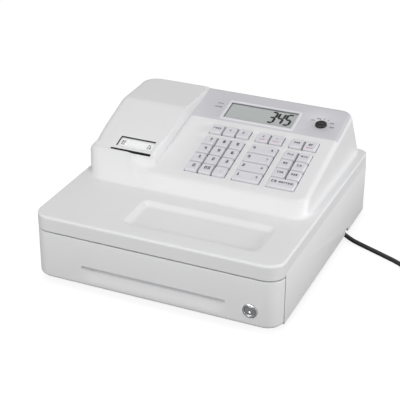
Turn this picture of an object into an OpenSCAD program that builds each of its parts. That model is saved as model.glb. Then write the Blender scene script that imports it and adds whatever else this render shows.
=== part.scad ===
// Compact electronic cash register: receipt printer, keyboard and display on a lid over a cash drawer.
// Millimetres. X to the right, Y to the rear, Z up. The feet stand on Z = 0.

/* [Cabinet] */
// Width of the cabinet
body_w = 330; // [320:1:350]
// Depth of the cabinet from the drawer's face to the rear
body_d = 352; // [346:1:380]
// Height of the cabinet from its lower edge to the top of the lid
base_h = 88; // [86:1:100]
// Height of the rubber feet
foot_h = 7; // [5:0.5:9]
// Wall of the plastic mouldings
wall = 2.5; // [2:0.1:3]
// Plan radius of the front corners
front_r = 22; // [16:1:26]
// Plan radius of the rear corners
rear_r = 10; // [6:1:14]
// Rounding along the lid's top edge
lid_round = 3; // [2:0.5:4]
// Height of the lid's side skirt
lid_skirt = 16.5; // [15:0.5:18]
// Height of the floor moulding above the lower edge
floor_rise = 8; // [8:0.5:9]
// Running gap around the drawer's front
drawer_gap = 1; // [0.6:0.1:1.2]

/* [Drawer] */
// Depth of the drawer's front moulding, corner returns included
front_depth = 21; // [20:0.5:26]
// Room for the rollers and rails on each side of the drawer tub
tub_gap = 15.5; // [14.5:0.5:18]
// Room for the release hook behind the drawer tub
tub_back = 51; // [47:1:60]
// Room above the drawer tub under the chassis plate
tub_head = 11.5; // [10.5:0.5:14]
// Sheet thickness of the drawer tub
tub_t = 1.2; // [1:0.1:1.5]
// Width of the pull under the drawer's front
pull_w = 194; // [150:1:210]
// Height of the pull's upper lip above the front's lower edge
pull_z = 28.5; // [24:0.5:32]
// Depth of the pull's recess
pull_depth = 6; // [4:0.5:8]
// Diameter of the lock's collar
lock_d = 22; // [18:0.5:24]
// How far the collar stands proud of the drawer's front
lock_proud = 2; // [1.5:0.1:2.5]
// Distance of the lock from the right side
lock_inset = 36; // [34:1:40]
// Height of the lock above the front's lower edge
lock_z = 22; // [19:1:24]

/* [Cash tray] */
// Number of banknote slots across the tray
note_slots = 4; // [3:1:5]
// Room between the tray and the tub's rear wall
tray_back = 7; // [4:0.5:12]
// Rows of coin cups
coin_rows = 2; // [1:1:2]
// Depth of one coin cup
cup_d = 52; // [46:1:56]
// Depth of the coin cups' hollow
cup_h = 30; // [24:1:34]
// Wall between the tray's hollows
tray_t = 2.5; // [2:0.1:3]

/* [Console] */
// Inset of the console's left side from the cabinet's
console_left = 3; // [2.5:0.5:6]
// Inset of the console's right side from the cabinet's
console_right = 13; // [11:0.5:15]
// Depth of the console at its foot
console_d = 233; // [228:1:238]
// Tilt of the keyboard deck
deck_tilt = 13.6; // [12:0.1:14.5]
// Height of the deck's front edge above the lid
deck_front_h = 19; // [18:0.5:22]
// How far the deck's front edge lies behind the console's foot
deck_run = 12; // [11:1:15]
// How far the ridge lies in front of the cabinet's rear
ridge_inset = 25; // [23:1:28]
// Rounding of the console's edges
console_round = 7; // [6:0.5:8]
// Plan radius of the console's front corners
console_r = 18; // [16:1:20]

/* [Printer cover] */
// Width of the printer cover
cover_w = 98; // [96:1:100]
// How far the cover's slope lies in from its right side at the nose
shoulder = 9; // [4:1:12]
// Height of the cover's lower edge above the lid
cover_z = 24; // [23:0.5:26]
// Height of the cover's bend above the lid
bend_h = 65.5; // [64:0.5:67]
// Distance of the bend from the cabinet's rear
bend_back = 107; // [104:1:110]
// Rise from the bend to the ridge
bend_rise = 1.5; // [1:0.5:3]
// Height of the nose above the lid
nose_h = 31.5; // [30:0.5:33]
// Distance of the nose from the cabinet's rear
nose_back = 208; // [206:1:210]
// Width of the paper outlet
outlet_w = 61; // [59:0.5:62]
// Width of the paper window
window_w = 51; // [46:1:52]
// Length of the paper window along the slope
window_l = 19; // [14:1:20]

/* [Keys] */
// Pitch of the keys across the deck
key_pitch = 19; // [18.6:0.1:19.2]
// Pitch of the key rows along the slope
row_pitch = 19; // [18.6:0.1:19.4]
// Gap between two key caps
key_gap = 1.8; // [1.4:0.1:2.2]
// Height of a key cap
key_h = 5.6; // [5:0.1:6]
// Travel of a key
key_travel = 3; // [2:0.1:3]
// Depth of the wells that the caps stand in
well_h = 4.5; // [4.2:0.1:5]
// Side of a key's square stem
stem_w = 6; // [5:0.1:7]
// Distance of the first key row from the deck's front edge
row_start = 26; // [24:0.5:28]
// Distance of the function row from the deck's front edge
fn_row = 109; // [108:0.5:110]
// Gap between two blocks of keys
block_gap = 9; // [8:0.5:9.5]
// Middle of the number keys across the cabinet
pad_x = 4.5; // [2:0.5:6]

/* [Display] */
// Distance of the display panel from the deck's front edge
panel_start = 131; // [130.5:0.5:132]
// Length of the display panel along the slope
panel_l = 62; // [60:0.5:63]
// Thickness of the display panel
panel_t = 1.6; // [1.2:0.1:2]
// Width of the display window
lcd_w = 98; // [84:1:99]
// Length of the display window along the slope
lcd_l = 36; // [30:1:37]
// Middle of the display window across the cabinet
lcd_x = 29.5; // [28:0.5:30]
// Width of the raised rim around the display window
rim_w = 4; // [3:0.5:4.5]
// Diameter of the mode switch's rotor
rotor_d = 15; // [14:0.5:17]
// Distance of the mode switch from the panel's right end
rotor_inset = 33; // [31.5:0.5:34]
// Width of the customer's window in the rear
rear_lcd_w = 74; // [60:1:80]
// Height of the customer's window in the rear
rear_lcd_h = 22; // [18:1:24]

/* [Printer] */
// Diameter of the receipt roll
roll_d = 64; // [50:1:66]
// Width of the receipt paper
paper_w = 57.5; // [56:0.5:58]
// Diameter of the platen roller
platen_d = 12; // [10:0.5:13]
// Diameter of the shafts
shaft_d = 5; // [4:0.5:5.5]

/* [Cord] */
// Diameter of the mains cord
cord_d = 6; // [5:0.1:6]

/* [Hidden] */
CAP_NODES = ["key_7", "key_8", "key_9", "key_4", "key_5", "key_6", "key_1", "key_2", "key_3",
  "key_0", "key_00", "key_point", "key_dept_4", "key_dept_3", "key_dept_2", "key_dept_1",
  "key_plu", "key_price", "key_no_sale", "key_check", "key_charge", "key_subtotal", "key_cash",
  "key_feed", "key_times", "key_clear", "key_percent", "key_minus", "key_shift", "key_void"];

// Clearances and small standard sizes
fit = 0.3;
pin_fit = 0.05;
eps = 0.01;
steel_t = 1.2;
board_t = 1.6;
arc_fn = 96;
blend_fn = 32;
cap_fn = 24;

// Cabinet
half_w = body_w / 2;
front_y = -(body_d - lock_proud) / 2;
rear_y = front_y + body_d;
lid_top = foot_h + base_h;
lid_low = lid_top - lid_skirt;
front_top = lid_low - 2 * drawer_gap - wall;
case_front = front_y + front_depth + drawer_gap;
floor_z = foot_h + floor_rise;
floor_top = floor_z + wall;
inner_x = half_w - wall;
plate_z = lid_low - wall;
plate_top = plate_z + steel_t;

// Console and its tilted deck
con_x0 = -half_w + console_left;
con_x1 = half_w - console_right;
con_y0 = rear_y - console_d;
deck_y = con_y0 + deck_run;
deck_z = lid_top + deck_front_h;
ridge_y = rear_y - ridge_inset;
ridge_z = deck_z + (ridge_y - deck_y) * tan(deck_tilt);
deep = 20;
sky = ridge_z + deep;
cover_x1 = con_x0 + cover_w;
valley = 2 * fit;
deck_x0 = cover_x1 + valley;
deck_left = cover_x1 - 3 * console_r;
cover_low = lid_top + cover_z;
nose_y = rear_y - nose_back;
bend_y = rear_y - bend_back;
bend_z = lid_top + bend_h;
slope_a = atan((bend_h - nose_h) / (bend_y - nose_y));
outlet_s = 6;
outlet_l = 2.5;
cover_y0 = nose_y + outlet_s * cos(slope_a);
lean = 4;
overhang = 5;
hump_r = 30;
nose_r = 12;
side_r = 9;
paper_shift = 12;
paper_x = con_x0 + cover_w / 2 + paper_shift;

// Keys
cap_w = key_pitch - key_gap;
well_edge = 0.9;
stem_fit = 0.25;
pad_w = 3 * key_pitch;
pair_w = 2 * key_pitch;
dept_x = pad_x + pad_w / 2 + block_gap + pair_w / 2;
total_x = dept_x + pair_w + block_gap;
function row_s(i) = row_start + i * row_pitch;
PAD = [for (r = [3:-1:1]) for (c = [-1:1]) [pad_x + c * key_pitch, row_s(r), 1]];
LOW = [for (c = [-1:1]) [pad_x + c * key_pitch, row_s(0), 1]];
DEPT = [for (r = [3:-1:0]) [dept_x, row_s(r), 2]];
PAIRS = [for (r = [3:-1:1]) for (c = [-0.5, 0.5]) [total_x + c * key_pitch, row_s(r), 1]];
TOTAL = [[total_x, row_s(0), 2]];
FN = concat([for (c = [-1:1]) [pad_x + c * key_pitch, fn_row, 1]],
  [for (c = [-0.5, 0.5]) [dept_x + c * key_pitch, fn_row, 1]],
  [for (c = [-0.5, 0.5]) [total_x + c * key_pitch, fn_row, 1]]);
CAPS = concat(PAD, LOW, DEPT, PAIRS, TOTAL, FN);
// Wells: middle x, middle s, width and length along the slope
pad_s = row_start + 1.5 * row_pitch;
WELLS = [[pad_x, pad_s, pad_w, 4 * row_pitch], [dept_x, pad_s, pair_w, 4 * row_pitch],
  [total_x, pad_s, pair_w, 4 * row_pitch], [pad_x, fn_row, pad_w, row_pitch],
  [dept_x, fn_row, pair_w, row_pitch], [total_x, fn_row, pair_w, row_pitch]];
well_floor_t = 2;
stem_low = -(well_h + well_floor_t + 1);
mat_t = 1.2;
mat_top = stem_low - key_travel - fit;
kb_top = mat_top - mat_t;

// Display panel
panel_end = panel_start + panel_l;
panel_x1 = con_x1 - 4.5;
lcd_s = panel_start + 26.5;
rotor_x = panel_x1 - rotor_inset;
rotor_s = panel_start + 28;
rotor_h = 3.4;
rotor_shaft = 6;
rotor_l = 9;
bar_w = 3.6;
bar_h = 1.4;
cell_edge = 7;
cell_h = 5.5;
switch_d = 24;
switch_h = 16;
lens_t = 1.5;
rear_dy = ridge_inset - 1 + console_round * (0.6 - sin(deck_tilt));
rear_dz = ridge_z - lid_top - console_round * (0.6 * tan(deck_tilt) + cos(deck_tilt));
rear_a = atan(rear_dz / rear_dy) + asin(console_round / norm([rear_dy, rear_dz]));
rear_x = 60;
rear_up = 34;

// Drawer
front_low = foot_h + drawer_gap;
pull_lip = 1;
pull_foot = 5;
lock_x = half_w - lock_inset;
lock_axis = front_low + lock_z;
lock_tail = 6;
cam_w = 8;
cam_t = 1.5;
keyway = [2, 8, 3];
rib_step = (half_w - 33) / 2;
FRONT_RIBS = [-2 * rib_step, -rib_step, 0, rib_step, lock_x - lock_d / 2 - 14];
tub_w = body_w - 2 * (wall + tub_gap);
tub_z = floor_top + drawer_gap;
tub_y0 = front_y + front_depth;
tub_top = plate_z - tub_head;
tub_y1 = rear_y - tub_back;
runner_w = 11;
runner_z = tub_top - 10;
rail_z = runner_z - fit;
rail_leg = 10;
roller_d = 12;
roller_w = 5;
roller_y = case_front + 9;
roller_z = rail_z - roller_d / 2 + fit - pin_fit;
roller_x = tub_w / 2 + 3 + pin_fit;
axle_d = 4;
tray_y0 = tub_y0 + tub_t + fit;
tray_w = tub_w - 2 * tub_t - 2 * fit;
tray_low = 3;
tray_z = tub_z + tub_t;
tray_top = tub_top - tray_low;
tray_y1 = tub_y1 - tub_t - tray_back;
slot_w = (tray_w - (note_slots + 1) * tray_t) / note_slots;
note_y0 = tray_y0 + tray_t + coin_rows * (cup_d + tray_t);
note_d = tray_y1 - tray_t - note_y0;
clip_axle = 4;
clip_y = tray_y1 - tray_t - 7;
clip_z = tray_top - 5;
clip_l = 62;
clip_drop = clip_z - tray_z - tray_t - clip_axle / 2 - fit;
clip_w = 14;

// Printer
cheek_t = 2;
cheek_gap = paper_w + 2.5;
cheek_x0 = paper_x - cheek_gap / 2 - cheek_t;
cheek_x1 = paper_x + cheek_gap / 2;
roll_y = bend_y + 26;
roll_z = plate_top + 6 + roll_d / 2;
spindle_d = 8;
platen_back = 38;
platen_y = nose_y + platen_back;
platen_z = cover_low - 4;
gear_d = 18;
gear_t = 4;
gear_x = cheek_x0 - gear_t - 0.5;
motor_d = 24;
motor_l = 13;
head_gap = 16;
head_t = 4;
sill_h = 20;
motor_y = platen_y + 2;
motor_z = platen_z - motor_d;
flange_w = 34;
flange_h = 8;
frame_y0 = platen_y - 14;
frame_y1 = roll_y + roll_d / 2 + 4;

// Screws and feet
screw_d = 3;
head_d = 6;
screw_l = 9;
cross_l = 4;
cross_w = 0.8;
foot_d = 18;
foot_inset = 30;
screw_side = half_w - 25;
screw_mid = 50;
SCREWS = [-screw_side, -screw_mid, screw_mid, screw_side];

// Cord: the route's points run over the floor to the coil
cord_r = cord_d / 2;
gland_back = 84;
gland_side = 37;
gland_y = rear_y - gland_back;
gland_x = half_w - gland_side;
gland_l = 24;
gland_z = 9.5;
gland_w = 18;
notch_w = 12;
// Route of the cord from the cabinet's right side and the gland
ROUTE = [[-13, 0, 9.5], [-5, -1, 8.8], [3, -3, 7], [11, -6, 4.6], [20, -10.5, 3.2], [33, -17, 3],
  [48, -24, 3], [63, -31.5, 3], [78, -39.5, 3], [93, -48, 3], [109, -57.5, 3], [123, -66, 3]];
CORD = [for (p = ROUTE) p + [half_w, gland_y, 0]];
coil_side = 146;
coil_back = 31;
coil_x = half_w + coil_side;
coil_y = gland_y - coil_back;
coil_r = 33;
coil_rings = 4;
coil_layers = 2;
coil_half = coil_rings * cord_r;
coil_h = coil_layers * cord_d;
tail_x = coil_x + coil_r + coil_half - cord_r;
tail_y = coil_y + 14;
tail_l = 32;
plug_w = 26;
plug_t = 18;
plug_l = 36;
pin_d = 4;
pin_l = 18;
pin_gap = 18.6;
tube_sides = 8;

// Coin dish in the lid
dish_left = 111;
dish_right = 38;
dish_edge = 26;
dish_x0 = -half_w + dish_left;
dish_x1 = half_w - dish_right;
dish_y0 = front_y + dish_edge;
dish_y1 = con_y0 - dish_edge;
dish_h = 5;
dish_slope = 9;

// Hinge of the printer cover
HINGES = [con_x0 + 22, cover_x1 - 22];
knuckle_w = 10;
hinge_d = 6;
pin_hinge_d = 3;
hinge_z = cover_low - fit / 2;
hinge_y = rear_y - 1 - (cover_low - lid_top) / tan(rear_a) + hinge_d / 2 + 0.5;
window_s = 22.5;
window_lip = 1;
rim_h = 1;

// Drawer latch, lock and small parts
latch_w = 10;
latch_back = 26;
latch_h = 9;
catch_low = 6.5;
hook_back = 7;
latch_y = tub_y1 + latch_back;
hook_y = tub_y1 + hook_back;
catch_z = tub_top - catch_low;
latch_z = catch_z + latch_h;
catch_w = 20;
hub_d = 10;
hook_t = 2;
ear_l = 14;
solenoid = [30, 24, 24];
barrel_d = lock_d - 4;
rail_y1 = tub_y1 + 6;
foot_x = half_w - foot_inset;
foot_y0 = case_front + foot_inset - 6;
foot_y1 = rear_y - foot_inset;
foot_peg_d = 8;
foot_peg_h = 5;
plate_back = rear_y - wall - fit;
screw_z = plate_top + 8;
head_h = 1.2;
board_side = 14;
board_front = 60;
board_back = 20;
board_x0 = deck_x0 + board_side;
board_x1 = con_x1 - board_side;
board_y0 = deck_y + board_front;
board_y1 = rear_y - board_back;
post_d = 6;
board_z = plate_top + post_d;
// Two chips and the transformer: place on the board, width, length and height
CHIPS = [[40, 30, 24, 24, 4], [80, 34, 16, 10, 4],
  [board_x1 - board_x0 - 62, 10, 52, 44, 24]];
can_d = 11;
can_h = 20;
can_gap = 3;
can_inset = 16;

// Rounded rectangle from corner to corner with one radius in front and another at the rear
module plan(x0, x1, y0, y1, rf, rr, fn = arc_fn) {
  difference() {
    translate([x0, y0]) square([x1 - x0, y1 - y0]);
    for (x = [x0, x1]) {
      for (y = [y0, y1]) {
        r = y == y0 ? rf : rr;
        cx = x == x0 ? x0 + r : x1 - r;
        cy = y == y0 ? y0 + r : y1 - r;
        difference() {
          translate([x == x0 ? x0 - 1 : cx, y == y0 ? y0 - 1 : cy]) square(r + 1);
          translate([cx, cy]) circle(r, $fn = fn);
        }
      }
    }
  }
}

// Outline of the cabinet, moved in by s
module cabinet_plan(s = 0, fn = arc_fn) {
  plan(-half_w + s, half_w - s, front_y + s, rear_y - s, front_r - s, rear_r - s, fn);
}

module block(x0, x1, y0, y1, z0, z1) {
  translate([x0, y0, z0]) cube([x1 - x0, y1 - y0, z1 - z0]);
}

// Box centred in plan that hangs down from z = 0
module hanging_box(w, l, h) {
  translate([-w / 2, -l / 2, -h]) cube([w, l, h]);
}

// Cylinders along X and Y, from a start and with a length
module bar_x(x, y, z, d, l) {
  translate([x, y, z]) rotate([0, 90, 0]) cylinder(d = d, h = l, $fn = arc_fn);
}

module bar_y(x, y, z, d, l) {
  translate([x, y, z]) rotate([-90, 0, 0]) cylinder(d = d, h = l, $fn = arc_fn);
}

module disc(x, y, z, d, h) {
  translate([x, y, z]) cylinder(d = d, h = h, $fn = arc_fn);
}

// Frame of the deck: x across, y up the slope from the deck's front edge, z off the surface
module on_deck() {
  translate([0, deck_y, deck_z]) rotate([deck_tilt, 0, 0]) children();
}

// Frame of the printer cover's slope: y up the slope from the nose, z off the surface
module on_slope() {
  translate([0, nose_y, lid_top + nose_h]) rotate([slope_a, 0, 0]) children();
}

// Frame of the leaning rear wall: y down the wall from the lid, z outwards
module on_rear() {
  translate([0, rear_y - 1, lid_top]) rotate([-rear_a, 0, 0]) children();
}

module ball(x, y, z, r) {
  translate([x, y, z]) sphere(r, $fn = cap_fn);
}

// Ball that touches the deck's plane above the point y
module deck_ball(x, y, s) {
  r = console_round;
  ball(x, y + r * sin(deck_tilt), deck_z + (y - deck_y) * tan(deck_tilt) - r * cos(deck_tilt), r - s);
}

// Ball of radius r that touches the printer cover's slope above the point y
module slope_ball(x, y, s, r) {
  ball(x, y + r * sin(slope_a), lid_top + nose_h + (y - nose_y) * tan(slope_a) - r * cos(slope_a),
    r - s);
}

// Keyboard side of the console, its skin moved in by s
module deck_body(s = 0) {
  r = console_round;
  x1 = con_x1 - lean - r;
  hull() {
    translate([0, 0, lid_top - wall - lid_round]) linear_extrude(wall + lid_round)
      plan(deck_left + s, con_x1 - s, con_y0 + s, rear_y - 1 - s, console_r - s, rear_r - s, blend_fn);
    deck_ball(deck_left + r, deck_y + 0.6 * r, s);
    deck_ball(x1 - console_r / 2, deck_y + 0.6 * r, s);
    deck_ball(x1, deck_y + 0.6 * r + console_r / 2, s);
    deck_ball(deck_left + r, ridge_y - 0.6 * r, s);
    deck_ball(x1 - 1.3 * r, ridge_y - 0.6 * r, s);
    deck_ball(x1, ridge_y - 2.2 * r, s);
  }
}

// Printer side of the console, its skin moved in by s; its left side overhangs its foot
module hump_body(s = 0) {
  r = console_round;
  x1 = cover_x1 - r;
  hull() {
    translate([0, 0, lid_top - wall - lid_round]) linear_extrude(wall + lid_round)
      plan(con_x0 + overhang + s, cover_x1 - s, con_y0 + s, rear_y - 1 - s, hump_r - s, rear_r - s,
        blend_fn);
    slope_ball(con_x0 + nose_r, nose_y + 0.4 * nose_r, s, nose_r);
    slope_ball(cover_x1 - shoulder - nose_r, nose_y + 0.4 * nose_r, s, nose_r);
    slope_ball(con_x0 + side_r, bend_y - 0.3 * side_r, s, side_r);
    slope_ball(x1, bend_y - 0.3 * r, s, r);
    ball(con_x0 + lean / 2 + 2 * r, ridge_y - 0.6 * r, bend_z + bend_rise - r, r - s);
    deck_ball(x1, nose_y + 0.4 * r, s);
    deck_ball(x1, ridge_y - 0.6 * r, s);
    ball(con_x0 + side_r, ridge_y - 4 * r, bend_z + bend_rise - side_r, side_r - s);
  }
}

// Space above the parting line of the printer cover, grown by g
module cover_zone(g = 0) {
  block(con_x0 - 1, cover_x1 + g, cover_y0 - g, rear_y + 1, cover_low - g, sky);
}

module lid_shell() {
  difference() {
    union() {
      hull() {
        translate([0, 0, lid_low]) linear_extrude(lid_skirt - lid_round) cabinet_plan(0, blend_fn);
        translate([0, 0, lid_low]) linear_extrude(lid_skirt) cabinet_plan(lid_round, blend_fn);
        translate([0, 0, lid_low]) linear_extrude(lid_skirt - 0.3 * lid_round)
          cabinet_plan(0.3 * lid_round, blend_fn);
      }
      intersection() {
        translate([0, 0, front_top + drawer_gap])
          linear_extrude(lid_low - front_top) cabinet_plan(0);
        block(-half_w, half_w, front_y, case_front - drawer_gap, 0, lid_top);
      }
    }
    translate([0, 0, -eps]) linear_extrude(lid_top - wall) cabinet_plan(wall);
  }
}

// Shallow coin dish in the lid in front of the console, grown by g
module lid_dish(g = 0) {
  r = console_r / 2;
  hull() {
    translate([0, 0, lid_top - eps]) linear_extrude(1)
      plan(dish_x0 - g, dish_x1 + g, dish_y0 - g, dish_y1 + g, r, r, blend_fn);
    translate([0, 0, lid_top - dish_h - g]) linear_extrude(eps)
      plan(dish_x0 + dish_slope - g, dish_x1 - dish_slope + g, dish_y0 + dish_slope - g,
        dish_y1 - dish_slope + g, r, r, blend_fn);
  }
}

// Outline of the recess that the display panel lies in
module panel_plan(s = 0) {
  plan(deck_x0 + 1 + s, panel_x1 - s, panel_start + s, panel_end - s, 2, 9);
}

module top_case() {
  color("whitesmoke") {
    difference() {
      union() {
        lid_shell();
        intersection() {
          lid_dish(wall);
          block(-half_w, half_w, front_y, rear_y, lid_low, lid_top);
        }
        intersection() {
          union() {
            deck_walls();
            hump_walls();
          }
          block(-half_w, half_w, front_y, rear_y, lid_top - wall, sky);
        }
      }
      lid_dish(0);
      console_hollows();
      on_deck() deck_cuts();
      rear_cuts();
    }
    for (x = HINGES) {
      case_knuckles(x);
    }
  }
}

module deck_walls() {
  difference() {
    deck_body(0);
    cover_zone(valley);
    block(con_x0 - 1, cover_x1 - wall, front_y, rear_y + 1, lid_top, sky);
  }
}

module hump_walls() {
  difference() {
    hump_body(0);
    cover_zone(fit);
  }
}

module console_hollows() {
  difference() {
    union() {
      intersection() {
        deck_body(wall);
        block(deck_x0 + wall, half_w, front_y, rear_y, 0, sky);
      }
      intersection() {
        hump_body(wall);
        block(con_x0, cover_x1, front_y, rear_y, 0, sky);
      }
    }
    on_deck() well_boxes();
  }
}

// Solid that the key wells and the panel's recess are cut from
module well_boxes() {
  for (w = WELLS) {
    translate([w[0], w[1], 0])
      hanging_box(w[2] + 2 * wall, w[3] + 2 * wall, well_h + well_floor_t);
  }
  translate([deck_x0 + 2, panel_start - wall, -wall - panel_t])
    cube([panel_x1 - deck_x0 - 4, panel_l, wall]);
}

module deck_cuts() {
  for (w = WELLS) {
    translate([w[0], w[1], 1])
      hanging_box(w[2] - key_gap + 2 * well_edge, w[3] - key_gap + 2 * well_edge, well_h + 1);
  }
  for (c = CAPS) {
    translate([c[0], c[1], 0])
      hanging_box(stem_w + 2 * stem_fit, stem_w + 2 * stem_fit, well_h + well_floor_t + 1);
  }
  translate([0, 0, -panel_t]) linear_extrude(deep) panel_plan(0);
  translate([lcd_x, lcd_s, 0]) hanging_box(lcd_w, lcd_l, deep);
  translate([rotor_x, rotor_s, -deep]) cylinder(d = rotor_d + 2 * fit, h = 2 * deep, $fn = arc_fn);
}

// Customer's window and screw holes in the rear
module rear_cuts() {
  on_rear() translate([rear_x, -rear_up, deep]) hanging_box(rear_lcd_w, rear_lcd_h, 2 * deep);
  for (x = SCREWS) {
    bar_y(x, rear_y - 2 * wall, screw_z, screw_d + 2 * fit, 4 * wall);
    bar_y(x, rear_y - head_h, screw_z, head_d + 2 * fit, 4 * wall);
  }
}

// Hinge of the printer cover: the case's two knuckles carry the pin, the cover's turns between them
module case_knuckles(x) {
  difference() {
    union() {
      for (side = [-1, 1]) {
        x0 = x + side * (knuckle_w + fit) - knuckle_w / 2;
        bar_x(x0, hinge_y, hinge_z, hinge_d, knuckle_w);
        block(x0, x0 + knuckle_w, hinge_y - hinge_d, hinge_y, hinge_z - hinge_d,
          hinge_z - hinge_d / 4);
      }
    }
    on_rear() block(-half_w, half_w, -base_h, base_h, -base_h, -wall / 2);
  }
  bar_x(x - knuckle_w, hinge_y, hinge_z, pin_hinge_d, 2 * knuckle_w);
}

module printer_cover() {
  color("whitesmoke") difference() {
    union() {
      intersection() {
        difference() {
          hump_body(0);
          hump_body(wall);
        }
        cover_zone(0);
      }
      for (x = HINGES) {
        bar_x(x - knuckle_w / 2 + fit, hinge_y, hinge_z, hinge_d, knuckle_w - 2 * fit);
        difference() {
          block(x - knuckle_w / 2 + fit, x + knuckle_w / 2 - fit, hinge_y - 1.5 * hinge_d,
            hinge_y, hinge_z + fit, hinge_z + hinge_d);
          on_rear() block(-half_w, half_w, -base_h, base_h, -base_h, -wall / 2);
        }
      }
    }
    for (x = HINGES) {
      bar_x(x - knuckle_w, hinge_y, hinge_z, pin_hinge_d + 2 * pin_fit, 2 * knuckle_w);
    }
    on_slope() translate([paper_x, outlet_s, 2 * wall]) hanging_box(outlet_w, 2 * outlet_l, deep);
    on_slope() translate([paper_x, window_s, 2 * wall]) hanging_box(window_w, window_l, deep);
    on_slope() translate([paper_x, window_s, 2 * wall])
      hanging_box(window_w + 2 * window_lip, window_l + 2 * window_lip, 2 * wall + lens_t - 0.5);
  }
}

module receipt_window() {
  color("lightblue", 0.4) on_slope() translate([paper_x, window_s, 0]) {
    translate([0, 0, -fit / 3]) hanging_box(window_w + 2 * window_lip - fit,
      window_l + 2 * window_lip - fit, lens_t - 0.5 - fit / 3);
    hanging_box(window_w - fit, window_l - fit, wall);
  }
}

module chassis_plate() {
  color("silver") difference() {
    union() {
      translate([0, 0, plate_z]) linear_extrude(steel_t)
        plan(-inner_x + fit, inner_x - fit, case_front + wall, plate_back, 1, rear_r - wall);
      block(-inner_x + rear_r, inner_x - rear_r, plate_back - steel_t, plate_back, plate_top - eps,
        screw_z + head_d);
      for (x = [-latch_w / 2 - fit - steel_t, latch_w / 2 + fit]) {
        block(x, x + steel_t, latch_y - ear_l / 2, latch_y + ear_l / 2, latch_z - hub_d / 2, plate_z + eps);
      }
      translate([latch_w + solenoid[0] / 2, latch_y, plate_z + eps])
        hanging_box(solenoid[0], solenoid[1], solenoid[2]);
    }
    bar_x(-latch_w, latch_y, latch_z, axle_d + 2 * pin_fit, 2 * latch_w);
    for (x = SCREWS) {
      bar_y(x, plate_back - 2 * steel_t, screw_z, screw_d - 2 * fit, 4 * steel_t);
    }
  }
}

// Release hook: drops behind the catch on the drawer tub
module drawer_latch() {
  color("dimgray") {
    bar_x(-latch_w / 2 - fit - steel_t, latch_y, latch_z, axle_d, latch_w + 2 * (fit + steel_t));
    bar_x(-latch_w / 2, latch_y, latch_z, hub_d, latch_w);
    block(-latch_w / 2, latch_w / 2, hook_y - hook_t, latch_y, latch_z - hook_t, latch_z + hook_t);
    block(-latch_w / 2, latch_w / 2, hook_y - hook_t, hook_y + hook_t, catch_z + hook_t,
      latch_z + hook_t);
  }
}

module lower_case() {
  color("whitesmoke") difference() {
    union() {
      intersection() {
        difference() {
          translate([0, 0, foot_h]) linear_extrude(lid_low - foot_h) cabinet_plan(0);
          translate([0, 0, floor_top]) linear_extrude(base_h) cabinet_plan(wall);
          translate([0, 0, 0]) linear_extrude(floor_z) cabinet_plan(wall);
          block(-inner_x, inner_x, front_y, case_front + wall, floor_top, base_h);
        }
        block(-half_w, half_w, case_front, rear_y, 0, lid_low);
      }
      block(-inner_x, inner_x, case_front, case_front + wall, foot_h, floor_top);
      ledges();
      for (x = [-foot_x, foot_x]) {
        for (y = [foot_y0, foot_y1]) {
          disc(x, y, foot_h, foot_d + 4, floor_rise + eps);
        }
      }
    }
    for (x = [-foot_x, foot_x]) {
      for (y = [foot_y0, foot_y1]) {
        disc(x, y, foot_h - 1, foot_peg_d, foot_peg_h + 1);
      }
    }
    block(inner_x - 1, half_w + 1, gland_y - notch_w / 2, gland_y + notch_w / 2, foot_h - 1,
      gland_z + 4);
  }
}

// Ledge along the sides and the rear that the chassis plate rests on
module ledges() {
  intersection() {
    difference() {
      translate([0, 0, plate_z - 3]) linear_extrude(3) cabinet_plan(wall / 2);
      block(-inner_x + 4, inner_x - 4, front_y, rear_y - wall - 4, 0, base_h);
    }
    block(-half_w, half_w, case_front, rear_y, 0, lid_low);
  }
}

module drawer_front() {
  z1 = front_top - front_low;
  color("whitesmoke") difference() {
    intersection() {
      difference() {
        translate([0, 0, front_low]) linear_extrude(z1) cabinet_plan(0);
        difference() {
          translate([0, 0, front_low + wall]) linear_extrude(z1 - 2 * wall) cabinet_plan(wall);
          block(-pull_w / 2 - wall, pull_w / 2 + wall, front_y, front_y + pull_depth + wall,
            front_low, front_low + pull_z + wall);
          bar_y(lock_x, front_y, lock_axis, lock_d + 2 * wall, front_depth - lock_tail);
          for (x = FRONT_RIBS) {
            block(x, x + wall, front_y, tub_y0, front_low + pull_z + wall, tub_top);
          }
        }
      }
      block(-half_w, half_w, front_y, tub_y0, 0, lid_low);
    }
    pull_cut();
    bar_y(lock_x, front_y - 1, lock_axis, barrel_d + 2 * pin_fit, front_depth);
  }
}

// Finger pull: deepest under its upper lip, running out to the face below
module pull_cut() {
  z1 = front_low + pull_z;
  translate([-pull_w / 2, 0, 0]) rotate([90, 0, 90]) linear_extrude(pull_w)
    polygon([[front_y - 1, z1], [front_y + pull_depth, z1 - pull_lip],
      [front_y + pull_depth, z1 - pull_depth], [front_y, front_low + pull_foot],
      [front_y - 1, front_low + pull_foot]]);
}

module lock_barrel() {
  tail_y = front_y + front_depth - lock_tail + 2;
  color("silver") difference() {
    union() {
      bar_y(lock_x, front_y - lock_proud, lock_axis, lock_d, lock_proud - pin_fit);
      bar_y(lock_x, front_y - lock_proud, lock_axis, barrel_d, tail_y - front_y + lock_proud);
      block(lock_x - cam_w / 2, lock_x + cam_w / 2, tail_y - eps, tail_y + cam_t, lock_axis - cam_w / 2,
        lock_axis + barrel_d);
    }
    bar_y(lock_x, front_y - lock_proud - 1, lock_axis, barrel_d - 4, 1.8);
    block(lock_x - keyway[0] / 2, lock_x + keyway[0] / 2, front_y - lock_proud - 1,
      front_y + keyway[2], lock_axis - keyway[1] / 2, lock_axis + keyway[1] / 2);
  }
}

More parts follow.
